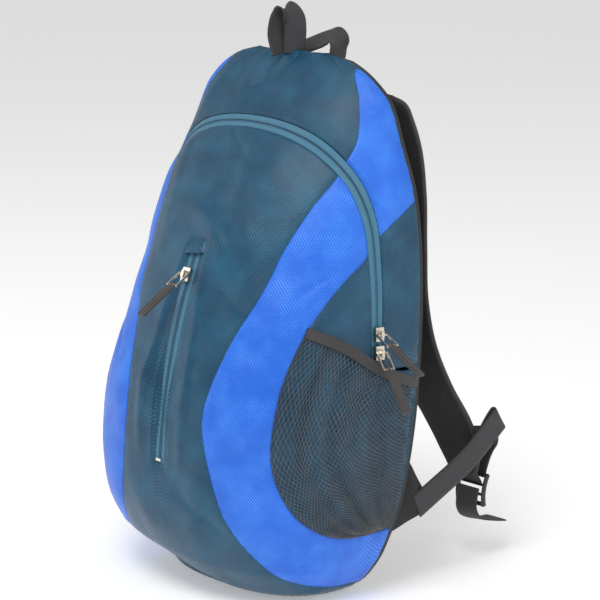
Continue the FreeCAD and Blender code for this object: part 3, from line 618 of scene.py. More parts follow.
# cloth, pillow height and grid of each kind of panel
panelKinds = {
    "front": (tealCloth, "teal_cloth", 1.2 * mm, 200, 110),
    "wave": (blueCloth, "blue_cloth", 1.6 * mm, 170, 46),
    "side": (tealCloth, "teal_cloth", 0.8 * mm, 110, 60),
    "gusset": (tealCloth, "teal_cloth", 1.0 * mm, 90, 40),
    "upper": (blueCloth, "blue_cloth", 1.0 * mm, 90, 40),
    "hood": (tealCloth, "teal_cloth", 0.8 * mm, 90, 150),
}


tape = zipSizes["tape"]
frontRail, rearRail = zipRail(-tape, zipSizes["legEnd"]), zipRail(tape, zipSizes["legEnd"])
inner, outerSeam, hoodSeam = seamXZ("waveInner"), seamYZ("waveOuter"), seamXZ("hood")
inner = inner[np.argsort(inner[:, 1])]
innerCut, frontCut = cutAt(inner, frontRail)
innerUse = joined(np.array([[inner[0, 0], foot]]), inner[inner[:, 1] > foot][: innerCut + 1])
innerUse = innerUse[innerUse[:, 1] <= inner[innerCut, 1] + 1e-6]
arch = frontRail[frontCut:]
rightRail = joined(innerUse, arch)
innerLeft = seamXZ("waveInnerLeft")
innerLeft = innerLeft[np.argsort(innerLeft[:, 1])]
cutLeft, frontCutLeft = cutAt(innerLeft, frontRail)
keep = (innerLeft[:, 1] > foot) & (np.arange(len(innerLeft)) <= cutLeft)
innerLeft = joined(np.array([[innerLeft[0, 0], foot]]), innerLeft[keep])
leftRail = joined(innerLeft, frontRail[frontCutLeft:])


def mirrored(edges):
    # a patch's bottom, top, left and right edges on the other side of the bag
    bottom, top, left, right = edges
    return flip(bottom)[::-1], flip(top)[::-1], flip(right), flip(left)


def sew(name, kind, edges, body, nodes):
    # a cloth panel with its thickness; one that rides no single body is attached to none and has its
    # placement baked in
    material, slotName, puff, rows, columns = panelKinds[kind]
    cloth = clothPanel(name, edges, rows, columns, puff)
    modifier(cloth, "SOLIDIFY", thickness=0.0012, offset=-1.0, use_even_offset=False)
    finish(cloth, material, body, nodes)
    if body is None:
        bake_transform(cloth)


# the front: both seams rise to the arch, and the last row closes on the apex
sliver = np.array([[1e-5, 0]])
sew("frontCloth", "front", (joined(innerUse[:1], flip(innerLeft[:1])), joined(arch[-1:], arch[-1:] + sliver),
                            rightRail, flip(leftRail)), None, ("front_panel", "front_fold", "flap_panel"))

# the waves, from the arch down to the foot of the back edge
startOuter, startZip = cutAt(outerSeam, frontRail)
outerUse = outerSeam[startOuter:]
outerRail = joined(frontRail[startZip:frontCut + 1][::-1], outerUse,
                   np.array([[0.0, backEdgeZ["waveTop"]], [0.0, foot]]))
for side, innerRail in (("right", innerUse), ("left", innerLeft)):
    edges = (joined(outerRail[-1:], innerRail[:1]), joined(outerRail[:1], innerRail[-1:] + sliver),
             outerRail[::-1], innerRail)
    sew("waveCloth." + side, "wave", edges if side == "right" else mirrored(edges), None,
        tuple(n + side for n in ("wave_panel_", "wave_fold_", "flap_wave_")))

# the sides: from the wave's seam back to the zip's leg, and under it to the back edge
sideRear = joined(frontRail[:startZip + 1][::-1],
                  np.array([[0.02, zipSizes["legEnd"] - 0.002], [0.0, backEdgeZ["sideTop"]],
                            [0.0, backEdgeZ["sideLow"]]]))
sideFront = outerUse[outerUse[:, 0] > 0.012]
for side in ("right", "left"):
    edges = (joined(sideRear[-1:], sideFront[-1:]), joined(sideRear[:1], sideFront[:1]),
             sideRear[::-1], sideFront[::-1])
    sew("sideCloth." + side, "side", edges if side == "right" else mirrored(edges), "bag",
        ("side_panel_" + side,))

# behind the zip: gusset, bright upper side and hood
lowSeam = seamYZ("upperSideLow")
lowCut, rearCut = cutAt(lowSeam, rearRail)
lowUse = joined(lowSeam[lowCut:], np.array([[0.0, backEdgeZ["upperLow"]]]))
hoodCut, hoodRear = cutAt(hoodSeam, rearRail)
hoodUse = hoodSeam[hoodCut:]
hoodUse = joined(hoodUse[hoodUse[:, 0] > 0.004], np.array([[0.0, backEdgeZ["hoodLow"]]]))
legBack = [0.0, zipSizes["legEnd"]]
gussetEdges = (np.array([legBack, rearRail[0]]), lowUse[::-1],
               np.array([legBack, lowUse[-1]]), rearRail[:rearCut + 1])
upperEdges = (lowUse[::-1], hoodUse[::-1],
              np.array([lowUse[-1], hoodUse[-1]]), rearRail[rearCut:hoodRear + 1])
for side in ("right", "left"):
    for label, kind, edges, node in (("gussetCloth.", "gusset", gussetEdges, "rear_gusset_"),
                                     ("upperSideCloth.", "upper", upperEdges, "upper_side_")):
        sew(label + side, kind, edges if side == "right" else mirrored(edges), "bag", (node + side,))

hoodSide = joined(hoodUse, np.array([[0.0, backEdgeZ["top"]]]))
archRear = rearRail[hoodRear:]
sew("hoodCloth", "hood", (joined(archRear, flip(archRear)[::-1]),
                          np.array([[0.0, backEdgeZ["top"]], [1.0, backEdgeZ["top"]]]),
                          hoodSide, flip(hoodSide)),
    "bag", ("hood_panel",))
print("stage: panels sewn")


# sweeps
def sweep(path, section, sides):
    # a section of (side, face) offsets carried along a path, with capped ends: each point is the path's
    # plus side and face offsets; sides gives the width direction, squared to the path
    path = np.asarray(path, float)
    sides = np.broadcast_to(np.asarray(sides, float), path.shape)
    tangent = np.gradient(path, axis=0)
    tangent /= np.linalg.norm(tangent, axis=1, keepdims=True) + 1e-12
    sides = sides - tangent * (sides * tangent).sum(1, keepdims=True)
    sides /= np.linalg.norm(sides, axis=1, keepdims=True) + 1e-12
    facing = np.cross(tangent, sides)
    section = np.asarray(section, float)
    if section.ndim == 2:
        section = np.repeat(section[None], len(path), 0)
    grid = path[:, None] + sides[:, None] * section[..., :1] + facing[:, None] * section[..., 1:2]
    rows, columns = grid.shape[:2]
    faces = gridFaces(rows, columns, wrapColumns=True).tolist()
    faces += [list(range(columns))[::-1], [(rows - 1) * columns + k for k in range(columns)]]
    run = np.concatenate([[0], np.cumsum(np.linalg.norm(np.diff(path, axis=0), axis=1))])
    uv = np.stack([section[..., 0], np.repeat(run[:, None], columns, 1)], -1).reshape(-1, 2)
    return grid.reshape(-1, 3), faces, uv


def flatSection(width, thick, round=0.35, across=10):
    # a flat strap's outline: two faces joined by edges rounded by a fourteenth power
    x = np.linspace(-0.5, 0.5, across)
    edge = np.clip(1 - (np.abs(2 * x)) ** 14, 0.0, 1) ** 0.5
    half = 0.5 * thick * (1 - round + round * edge)
    return np.concatenate([np.stack([x * width, half], -1), np.stack([x[::-1] * width, -half[::-1]], -1)])


def roundSection(radius, count=10):
    # a circle's outline: cosine and sine times the radius
    a = np.linspace(0, 2 * math.pi, count, endpoint=False)
    return np.stack([np.cos(a), np.sin(a)], -1) * radius


def sweepPiece(name, path, section, sides):
    # a sweep as a piece of its own
    return makeMesh(name, *sweep(path, section, sides))


def skinPath(line, lift=0.0):
    # points and outward directions of a (turn, height) line on the skin
    points, outward = skin(line[:, 0], line[:, 1]), skinNormal(line[:, 0], line[:, 1])
    return points + outward * lift, outward


def ribbonOnSkin(name, line, width, thick, lift, count):
    # a tape laid along a skin line, its width square to the line
    path, outward = skinPath(evenly(line, count), lift)
    tangent = np.gradient(path, axis=0)
    sides = np.cross(outward, tangent)
    return sweepPiece(name, path, flatSection(width, thick), sides)


# the main zip: the front tape rides no body and has its placement baked in, the rear tape stays with the bag
legStart = {"tape": zipSizes["legEnd"] - 0.004, "coil": zipSizes["legEnd"] - 0.002}
tapeSize = {"centre": 0.51, "thick": 0.9 * mm, "lift": 0.15 * mm, "steps": 420}
coilSize = {"pitch": 1.9 * mm, "halfWidth": 0.625 * mm, "halfRise": 0.6 * mm, "lift": 0.9 * mm,
            "shift": 0.62 * mm}


def railBoth(line):
    # a zip line up the right leg and down the left
    return joined(line, flip(line)[::-1][1:])


def coilSection(count, halfWidth, halfRise):
    # a rounded cord whose radius swells once in four steps: 0.8 plus 0.2 times a cosine
    swell = 0.80 + 0.20 * np.cos(np.arange(count) * math.pi / 2)
    return (roundSection(1.0, 8) * np.array([halfWidth, halfRise]))[None] * swell[:, None, None]


def coilRow(name, line):
    # one row of the coil, four steps to each pitch
    length = np.linalg.norm(np.diff(skin(line[:, 0], line[:, 1]), axis=0), axis=1).sum()
    count = int(length / coilSize["pitch"] * 4)
    path, outward = skinPath(evenly(line, count), coilSize["lift"])
    return sweepPiece(name, path, coilSection(count, coilSize["halfWidth"], coilSize["halfRise"]),
                      np.cross(outward, np.gradient(path, axis=0)))


def onZip(piece, material, front, nodes):
    # what is sewn to the flap rides no body and has its placement baked in; the rest rides the bag
    finish(piece, material, None if front else "bag", nodes)
    if front:
        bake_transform(piece)


for name, sign, nodes in (("frontTape", -1, ("main_zip_tape_legs", "main_zip_tape_flap")),
                          ("rearTape", 1, ("main_zip_tape_rear",))):
    line = railBoth(zipRail(sign * tape * tapeSize["centre"], legStart["tape"]))
    ribbon = ribbonOnSkin(name, line, tape, tapeSize["thick"], tapeSize["lift"], tapeSize["steps"])
    onZip(ribbon, zipTapeCloth, sign < 0, nodes)
for name, sign, nodes in (("frontCoil", -1, ("main_zip_coil_legs", "main_zip_coil_flap")),
                          ("rearCoil", 1, ("main_zip_coil_rear",))):
    coil = coilRow(name, railBoth(zipRail(sign * coilSize["shift"], legStart["coil"])))
    onZip(coil, zipCoilNylon, sign < 0, nodes)
print("stage: zips laid")


# underside and back
def foundation():
    # rings of the foot's outline shrinking to the middle, dropping to the floor inside the first few
    edge = skin(np.linspace(0, 1, 121), foot)
    backEdge = np.linspace(edge[-1], edge[0], 60)[1:-1]
    outline = np.concatenate([edge, backEdge])
    middle = outline.mean(0)
    share = np.array([1.0, 0.985, 0.96, 0.92, 0.8, 0.6, 0.4, 0.2, 0.03])
    drop = np.array([1.0, 0.55, 0.22, 0.05, 0.0, 0.0, 0.05, 0.08, 0.1])
    grid = middle + (outline - middle)[None] * share[:, None, None]
    grid[..., 2] = outline[None, :, 2] * drop[:, None] + 0.0002
    faces = gridFaces(len(share), len(outline), wrapColumns=True)
    piece = makeMesh("baseCloth", grid, faces[:, ::-1], grid[..., :2])
    return piece


finish(foundation(), tealCloth, "bag", ("base_panel",))

backPad = {"thick": 4.5 * mm, "low": 0.006, "margin": 3 * mm, "channels": 3}


def backCloth():
    # the back face between its edges, with long vertical pads parted by channels
    zs = np.linspace(backPad["low"], bag["height"] - 0.004, 120)
    u = np.linspace(-1, 1, 90)
    x = u[None] * (halfWidthAt(zs) - backPad["margin"])[:, None]
    z = np.repeat(zs[:, None], 90, 1)
    edge = np.minimum(1 - np.abs(u)[None], np.minimum((zs - zs[0]) / 0.06, (zs[-1] - zs) / 0.06)[:, None])
    channel = np.abs(np.sin(math.pi * (u * backPad["channels"] / 2)))[None] ** 0.35
    lift = backPad["thick"] * (1 - np.exp(-edge / 0.05)) * (0.45 + 0.55 * channel)
    y = backY(z) + 0.6 * mm + lift
    grid = np.stack([x, y, z], -1)
    return gridPiece("backPad", grid, np.stack([x, z], -1), flipFaces=True)


backPanel = backCloth()
modifier(backPanel, "SOLIDIFY", thickness=0.003, offset=-1.0)
finish(backPanel, airMesh, "bag", ("back_panel", "back_foam"))


def backEdge(count, out=0.0, behind=0.0):
    # the edge of the back face up one side, over the top and down the other
    zs = np.linspace(0.006, 0.462, count)
    up = np.stack([halfWidthAt(zs) + out, backY(zs) + behind, zs], -1)
    a = np.linspace(0, math.pi, 24)[1:-1]
    over = np.stack([np.cos(a) * (halfWidthAt(0.462) + out), np.full(22, backY(0.466) + behind),
                     0.462 + np.sin(a) * 0.006], -1)
    return np.concatenate([up, over, (up * np.array([-1, 1, 1]))[::-1]])


edgeBinding = sweepPiece("edgeBinding", evenly(backEdge(160, -0.4 * mm, 3.0 * mm), 260),
                         flatSection(5.0 * mm, 2.4 * mm, 0.7), [0, 1.0, 0.001])
finish(edgeBinding, edgeBlack, "bag", ("edge_binding",))
edgePiping = sweepPiece("edgePiping", evenly(backEdge(160, 0.3 * mm, 0.0 * mm), 260),
                        roundSection(1.1 * mm), [0, 1.0, 0.001])
finish(edgePiping, edgeTapeCloth, "bag")


# stitching
def stitches(name, path, outward, pitch=3.0 * mm, thread=0.28 * mm):
    # one short raised dash per pitch along a path: a four-sided bar lifted in its middle
    length = np.linalg.norm(np.diff(path, axis=0), axis=1).sum()
    count = int(length / pitch)
    both = evenly(np.concatenate([path, outward], 1), count * 5 + 1)
    start = both[np.arange(count) * 5 + 1]
    end = both[np.arange(count) * 5 + 4]
    along = end[:, :3] - start[:, :3]
    side = np.cross(start[:, 3:], along)
    side *= thread / (np.linalg.norm(side, axis=1, keepdims=True) + 1e-12)
    up = start[:, 3:] * thread
    middle = (start[:, :3] + end[:, :3]) / 2
    rings = [start[:, :3] - side * 0.5, start[:, :3] + side * 0.5, middle + side + up, middle - side + up,
             end[:, :3] - side * 0.5, end[:, :3] + side * 0.5]
    points = np.stack(rings, 1).reshape(-1, 3)
    quads = np.array([[0, 1, 2, 3], [3, 2, 5, 4]])
    faces = (quads[None] + 6 * np.arange(count)[:, None, None]).reshape(-1, 4)
    return makeMesh(name, points, faces, smooth=False)


def stitchLine(name, line, lift, material, body, count):
    # stitches along a line of the skin, riding one body or, with none, with their placement baked in
    path, outward = skinPath(evenly(line, count), lift)
    piece = stitches(name, path, outward)
    piece.data.materials.append(material)
    if body:
        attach(piece, body)
    else:
        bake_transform(piece)
    return piece


threadTeal = plainBlack("threadTeal", (0.02, 0.09, 0.14), (0.06, 0.20, 0.28), 0.5)
seamGap = tape + 2.2 * mm
stitchLine("zipStitchFront", railBoth(zipRail(-seamGap, zipSizes["legEnd"])), 1.5 * mm, threadTeal, None, 900)
stitchLine("zipStitchRear", railBoth(zipRail(seamGap, zipSizes["legEnd"])), 1.9 * mm, threadTeal, "bag", 900)
for label, x in (("Right", 0.0105), ("Left", -0.0105)):
    z = np.linspace(0.128, 0.300, 120)
    stitchLine("pocketStitch" + label, np.stack([turnAt(np.full(120, x), z), z], -1), 2.6 * mm,
               threadTeal, "bag", 120)


# front pocket zip
pocketZip = {"top": 0.309, "low": 0.122, "width": 13 * mm}
acrossBag = np.array([1.0, 0, 0])


def zipBand():
    # the tape follows the front's middle, its corners rounded off at the lower end
    count = 120
    z = np.linspace(pocketZip["low"], pocketZip["top"], count)
    path = np.stack([np.zeros(count), arcY(z, -0.5 * mm), z], -1)
    length = z - pocketZip["low"]
    r = pocketZip["width"] / 2
    rounded = np.sqrt(np.clip(2 * r * length - length ** 2, 1e-8, None)) * 2
    width = np.where(length < r, rounded, pocketZip["width"])
    base = flatSection(1.0, 1.1 * mm)
    section = base[None] * np.stack([width, np.ones(count)], -1)[:, None]
    return sweepPiece("pocketTape", path, section, acrossBag)


pocketTape = zipBand()
finish(pocketTape, zipTapeCloth, "bag", ("pocket_zip_tape",))
for label, shift in (("pocketCoilRight", 0.75 * mm), ("pocketCoilLeft", -0.75 * mm)):
    count = 380
    z = np.linspace(pocketZip["low"] + 0.007, pocketZip["top"] - 0.002, count)
    path = np.stack([np.full(count, shift), arcY(z, 0.6 * mm), z], -1)
    row = sweepPiece(label, path, coilSection(count, 0.62 * mm, 0.75 * mm), acrossBag)
    finish(row, zipCoilNylon, "bag", ("pocket_zip_coil",) if shift > 0 else ())

garage = {"z": 0.309, "width": 27 * mm, "height": 13 * mm, "rise": 4.2 * mm, "stand": 1.0 * mm}


def garageCloth():
    # a small folded lip over the zip's end: a mound cut off square along its lower edge
    u, v = np.meshgrid(np.linspace(-1, 1, 36), np.linspace(0, 1, 20))
    x = u * garage["width"] / 2 * (1 - 0.25 * v)
    z = garage["z"] - 0.004 + v * garage["height"] + 0.0018 * u
    lift = garage["rise"] * (1 - u ** 4) * np.cos(v * math.pi / 2) ** 0.7 + 0.6 * mm
    grid = skin(turnAt(x, z), z) + np.array([0, -1.0, 0]) * (lift + garage["stand"])[..., None]
    return gridPiece("zipGarage", grid, np.stack([x, z], -1))


lip = garageCloth()
modifier(lip, "SOLIDIFY", thickness=0.0009, offset=-1.0)
subdivide(lip)
finish(lip, tealCloth, "bag")


def pocketLining():
    # the pocket's hidden bag: a slack envelope hung behind the zip
    u, v = np.meshgrid(np.linspace(-1, 1, 40), np.linspace(0, 1, 50))
    x = u * 0.046
    z = 0.114 + v * 0.186
    sheets = []
    for inward, sign in ((9.5 * mm, 1), (20 * mm, -1)):
        pinch = (1 - np.abs(u) ** 6) * (1 - np.abs(2 * v - 1) ** 8)
        depth = 14.5 * mm + (inward - 14.5 * mm) * pinch + 0.6 * mm * np.sin(9 * u + 7 * v)
        sheets.append(skin(turnAt(x, z), z) + np.array([0, 1.0, 0]) * depth[..., None])
    points = np.concatenate([s.reshape(-1, 3) for s in sheets])
    quads = gridFaces(50, 40)
    faces = np.concatenate([quads, quads[:, ::-1] + 2000])
    return makeMesh("pocketLining", points, faces, np.concatenate([np.stack([x, z], -1).reshape(-1, 2)] * 2))


finish(pocketLining(), liningCloth, "bag", ("front_pocket_bag",))


# side pockets
net = {"across": 31, "up": 76, "yarn": 0.8 * mm, "bulge": 7.5 * mm}
# the net's cut piece, width and height
pocketLine = seamYZ("pocketEdge")
pocketCut, outerCut = cutAt(pocketLine, outerSeam)
pocketTop = joined(pocketLine[pocketCut:], np.array([[0.0, 0.192]]))
pocketFront = outerSeam[outerCut:]
pocketFront = pocketFront[pocketFront[:, 0] > 0.02]
pocketEdges = (joined(np.array([[0.0, 0.063]]), pocketFront[-1:]), pocketTop[::-1],
               np.array([[0.0, 0.063], [0.0, 0.192]]), pocketFront[::-1])


def netPlace(u, v, table):
    # bilinear reading of a patch at shares across and up
    rows, columns = table.shape[:2]
    a, b = np.clip(v, 0, 1) * (rows - 1), np.clip(u, 0, 1) * (columns - 1)
    i, j = np.minimum(a.astype(int), rows - 2), np.minimum(b.astype(int), columns - 2)
    fa, fb = (a - i)[..., None], (b - j)[..., None]
    return ((1 - fa) * (1 - fb) * table[i, j] + (1 - fa) * fb * table[i, j + 1]
            + fa * (1 - fb) * table[i + 1, j] + fa * fb * table[i + 1, j + 1])


pocketTable = patch(*pocketEdges, 80, 60)


def netLift(u, v):
    # slack cloth standing off the side: fullest under the top edge, in soft upright folds
    body = np.sin(np.clip(u, 0, 1) * math.pi) ** 0.55 * (1 - np.exp(-v / 0.10))
    gather = (0.30 * np.sin(2 * math.pi * (3.1 * u + 0.25 * v))
              + 0.22 * np.sin(2 * math.pi * (5.3 * u - 0.5 * v) + 1.3)
              + 0.10 * np.sin(2 * math.pi * (9.1 * u + 0.8 * v)))
    return (net["bulge"] * body * (0.72 + gather * (0.5 + 0.5 * v) * (1 - v ** 10)) + 1.9 * mm)


def netMesh(name, mirrored):
    # a diamond lattice: each face joins four staggered points, and the wireframe keeps only its sides
    n, m = net["across"], net["up"]
    j, i = np.meshgrid(np.arange(m + 1), np.arange(n + 1), indexing="ij")
    u = (i + 0.5 * (j % 2)) / (n + 0.5)
    v = j / m
    squeeze = u + 0.012 * np.sin(2 * math.pi * (3.1 * u + 0.25 * v)) + 0.004 * np.sin(40 * v + 9 * u)
    squeeze = np.clip(squeeze, 0, 1)
    place = netPlace(squeeze, v, pocketTable)
    turn = 1 - place[..., 0] if mirrored else place[..., 0]
    grid = skin(turn, place[..., 1]) + skinNormal(turn, place[..., 1]) * netLift(squeeze, v)[..., None]
    jj, ii = np.meshgrid(np.arange(0, m - 1), np.arange(0, n), indexing="ij")
    odd = jj % 2
    low = jj * (n + 1) + ii + (1 - odd)
    east = (jj + 1) * (n + 1) + np.minimum(ii + 1, n)
    west = (jj + 1) * (n + 1) + ii
    high = (jj + 2) * (n + 1) + ii + (1 - odd)
    faces = np.stack([low, east, high, west], -1).reshape(-1, 4)
    good = (faces.max(1) < (m + 1) * (n + 1)) & (np.array([len(set(f)) for f in faces.tolist()]) == 4)
    faces = faces[good]
    if mirrored:
        faces = faces[:, ::-1]
    piece = makeMesh(name, grid, faces, smooth=False)
    modifier(piece, "WIREFRAME", thickness=net["yarn"], use_replace=True, use_even_offset=False,
             use_boundary=True)
    return piece


for side, sign in (("right", 1), ("left", -1)):
    pocket = netMesh("pocketNet." + side, sign < 0)
    finish(pocket, netNylon, "bag", ("pocket_mesh_" + side,))
    line = evenly(pocketTop if sign > 0 else flip(pocketTop), 60)
    u = np.linspace(1, 0, 60)
    outward = skinNormal(line[:, 0], line[:, 1])
    path = skin(line[:, 0], line[:, 1]) + outward * (netLift(u, np.ones(60)) + 0.3 * mm)[:, None]
    binding = sweepPiece("pocketBinding." + side, path, flatSection(9.5 * mm, 2.0 * mm),
                         np.cross(outward, np.gradient(path, axis=0)))
    finish(binding, bindingDark, "bag", ("pocket_binding_" + side,))
print("stage: pockets made")


# straps
strap = {"width": 60 * mm, "thick": 10 * mm, "webbing": 25 * mm, "webThick": 1.7 * mm,
         "dent": 0.07, "steps": 150}
# behind the top, height, spread, share of width, share of thickness
strapRoute = np.array([(0, 438, 0, .90, .55), (14, 430, 0, 1, .8), (24, 414, 0, 1, 1), (34, 390, 0, 1, 1),
                       (41, 350, 0, 1, 1), (43, 300, 0, 1, 1), (45, 250, 1, 1, 1), (50, 212, 6, 1, 1),
                       (62, 172, 16, 1, 1), (77, 138, 27, .97, 1), (86, 112, 34, .86, .9),
                       (88, 94, 38, .62, .7), (88, 84, 40, .46, .45)])
lockAt = np.array([124, 162.2, 69]) * mm
lock = {"tilt": 80, "halfRun": 14.5 * mm, "railX": 15.3 * mm, "barHalf": 15.5 * mm, "bow": 3.0 * mm,
        "sink": 1.5 * mm}
# share along the lock, width, thickness in millimetres
lockBars = ((-0.92, 4.2, 4.6), (-0.30, 2.8, 3.4), (0.32, 2.8, 3.4), (0.94, 3.6, 4.6))
tailRows = np.array([(0, -4.5, 2), (0, -7.0, -8), (0, -7.5, -18), (0, -3, -26), (0, 5, -31), (0, 16, -34.5),
                     (0, 27, -37), (0, 36, -38.5)]) * mm
lower = {"start": np.array([150.0, 105.0, 80.0]) * mm, "turn": np.array([150.0, 168.2, 138.0]) * mm,
         "wingEnd": np.array([136.0, 72.0, 74.0]) * mm, "past": np.array([138.0, 90.0, 83.0]) * mm,
         "sag": np.array([3, 0, -2]) * mm, "width": np.array([0, 0.55, -0.835]), "radius": 2.2 * mm,
         "back": np.array([(129, 173, 112), (124.5, 170, 94), (124, 165.5, 80)]) * mm}


def splineRows(rows, count):
    # smooth rows of any width through the given ones, at even steps of the first three
    rows = np.asarray(rows, float)
    at = np.concatenate([[0], np.cumsum(np.linalg.norm(np.diff(rows[:, :3], axis=0), axis=1))])
    tangent = np.gradient(rows, at, axis=0)
    fine = np.linspace(0, at[-1], count)
    i = np.clip(np.searchsorted(at, fine, side="right") - 1, 0, len(at) - 2)
    step = (at[i + 1] - at[i])[:, None]
    s = ((fine - at[i]) / (at[i + 1] - at[i]))[:, None]
    return cubic(s, step, rows[i], rows[i + 1], tangent[i], tangent[i + 1])


def webbingBand(name, path, share, sides):
    # a length of webbing, a share of the full width wide
    return sweepPiece(name, path, flatSection(strap["webbing"] * share, strap["webThick"]), sides)


def strapPad(label, rows, path):
    # a flat pad: full in the middle, pinched to its bound edges, with small dents where it bends
    x = np.linspace(-1, 1, 26)
    dome = 0.30 + 0.70 * (1 - np.abs(x) ** 3.2)
    outline = np.concatenate([np.stack([x, dome], -1), np.stack([x[::-1], -dome[::-1]], -1)])
    dent = 1 - strap["dent"] * np.abs(np.sin(np.linspace(0, 19, strap["steps"])))
    half = [rows[:, 3] * strap["width"] / 2 * 0.97, rows[:, 4] * dent * strap["thick"] / 2]
    pad = sweepPiece("strapPad." + label, path, outline[None] * np.stack(half, -1)[:, None], acrossBag)
    finish(pad, airMesh, "strap_" + label, ("shoulder_strap_" + label,))


def strapEdges(label, rows, path):
    # bound edges: an oval cord along either side, as thick as the pad allows
    for edge in (-1, 1):
        rim = path + acrossBag * (edge * rows[:, 3] * strap["width"] / 2 * 0.955)[:, None]
        thick = np.stack([np.full(strap["steps"], 5.5 * mm), rows[:, 4] * 4.4 * mm], -1)
        bound = sweepPiece("strapBinding.%s.%d" % (label, edge), rim,
                           roundSection(0.5, 12)[None] * thick[:, None], acrossBag)
        finish(bound, bindingDark, "strap_" + label)


def strapRunner(label, mirror, rows):
    # the webbing sewn down the pad's outer face, ending in a loop that holds the buckle
    strip = rows[8:, :3] * mirror
    facing = np.cross(np.gradient(strip, axis=0), acrossBag)
    facing *= np.sign(facing[:, 1:2]) / np.linalg.norm(facing, axis=1, keepdims=True)
    strip = strip + facing * (rows[8:, 4:5] * strap["thick"] / 2 + 0.7 * mm)
    drop = np.array([[124, 158.5, 80], [124, 161.0, 76]]) * mirror * mm
    strip = evenly(np.concatenate([strip, drop]), strap["steps"])
    runner = webbingBand("strapWebbing." + label, strip, 1, acrossBag)
    finish(runner, webbingDark, "strap_" + label)


def ladderLock(label, mirror):
    # two rounded rails and four bars, bowed along the length by one less the square of the share
    tilt, half = math.radians(lock["tilt"]), lock["halfRun"]
    down = np.array([0, math.cos(tilt), math.sin(tilt)])
    normal = np.array([0, -math.sin(tilt), math.cos(tilt)])
    centre = lockAt * mirror
    s = np.linspace(-1, 1, 21)
    bow = (1 - s ** 2) * lock["bow"] - lock["sink"]
    made = []
    for edge in (-1, 1):
        rail = centre + acrossBag * edge * lock["railX"] + down * (s * half)[:, None] + normal * bow[:, None]
        made.append(sweep(rail, roundSection(0.5, 12) * np.array([3.4, 5.2]) * mm, acrossBag))
    for at, wide, thick in lockBars:
        middle = centre + down * at * half + normal * ((1 - at ** 2) * lock["bow"] - lock["sink"])
        bar = middle + acrossBag * np.linspace(-lock["barHalf"], lock["barHalf"], 9)[:, None]
        made.append(sweep(bar, roundSection(0.5, 12) * np.array([wide, thick]) * mm, down))
    faces, count = [], 0
    for points, partFaces, _ in made:
        faces += [[k + count for k in face] for face in partFaces]
        count += len(points)
    piece = makeMesh("ladderLock." + label, np.concatenate([part[0] for part in made]), faces)
    finish(piece, plastic, "buckle_" + label, ("ladder_lock_" + label,))


def webbingTail(label, mirror):
    # out of the lock, down and backwards, with a cut end and half a twist's sine
    path = splineRows((tailRows + lockAt) * mirror, 60)
    sides = np.stack([np.ones(60), np.zeros(60), 0.12 * np.sin(np.linspace(0, 3, 60))], -1)
    tail = webbingBand("webbingTail." + label, path, 0.98, sides)
    finish(tail, webbingDark, "buckle_" + label, ("webbing_tail_" + label,))


def lowerWebbing(label, mirror):
    # from the wing past the strap, over a half-turn fold and back into the lock, twisting as it comes
    start, turn, wingEnd, past = (lower[k] for k in ("start", "turn", "wingEnd", "past"))
    outer = splineRows([wingEnd, past, (past + turn) / 2 + lower["sag"], turn], 50)
    run = (turn - start) / np.linalg.norm(turn - start)
    inward = np.cross(lower["width"], run)
    inward *= -np.sign(inward[0]) / np.linalg.norm(inward)
    a = np.linspace(0, math.pi, 12)[1:, None]
    over = turn + run * np.sin(a) * lower["radius"] + inward * (1 - np.cos(a)) * lower["radius"]
    back = splineRows([over[-1], over[-1] - run * 0.016 + np.array([-3, 1, -1]) * mm, *lower["back"]], 46)
    loop = np.concatenate([outer, over[:-1], back])
    twist = ease(np.clip(np.linspace(0, 1, 46) * 1.6, 0, 1)[:, None])
    widths = np.concatenate([np.tile(lower["width"], (len(loop) - 46, 1)),
                             lower["width"] * (1 - twist) + np.array([-1.0, 0, -0.1]) * twist])
    webbing = webbingBand("lowerWebbing." + label, loop * mirror, 1, widths * mirror)
    finish(webbing, webbingDark, None, ("lower_webbing_" + label,))
    "strap_" + label
    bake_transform(webbing)


def strapWing(label, side):
    # a folded triangle of cloth whose tip holds the webbing: bilinear between four corners, with a soft swell
    corners = [np.array(corner) * mm for corner in (
        (128.5, backY(0.054) / mm + 2, 54), (134.0, backY(0.128) / mm + 2, 128),
        (134.5, 86, 67), (135.0, 79, 92))]
    u, v = (share[..., None] for share in np.meshgrid(np.linspace(0, 1, 24), np.linspace(0, 1, 24)))
    grid = (1 - u) * ((1 - v) * corners[0] + v * corners[1]) + u * ((1 - v) * corners[2] + v * corners[3])
    swell = np.sin(u * math.pi) * np.sin(v * math.pi) * 1.6 * mm + np.sin(u * 9 + v * 5) * 0.4 * mm
    grid = (grid + acrossBag * swell) * np.array([side, 1, 1])
    wing = gridPiece("strapWing." + label, grid, np.concatenate([u, v], -1) * 0.06, flipFaces=side < 0)
    modifier(wing, "SOLIDIFY", thickness=0.0028, offset=0.0)
    subdivide(wing)
    finish(wing, blackCloth, "bag", ("strap_wing_" + label,))


for label, side in (("right", 1), ("left", -1)):
    mirror = np.array([side, 1, 1])
    rows = np.stack([80 + strapRoute[:, 2], 66.21 + strapRoute[:, 0], strapRoute[:, 1], strapRoute[:, 3],
                     strapRoute[:, 4]], -1)
    rows[:, :3] *= mm
    rows = splineRows(rows, strap["steps"])
    strapPad(label, rows, rows[:, :3] * mirror)
    strapEdges(label, rows, rows[:, :3] * mirror)
    strapRunner(label, mirror, rows)
    ladderLock(label, mirror)
    webbingTail(label, mirror)
    lowerWebbing(label, mirror)
    strapWing(label, side)
print("stage: straps made")


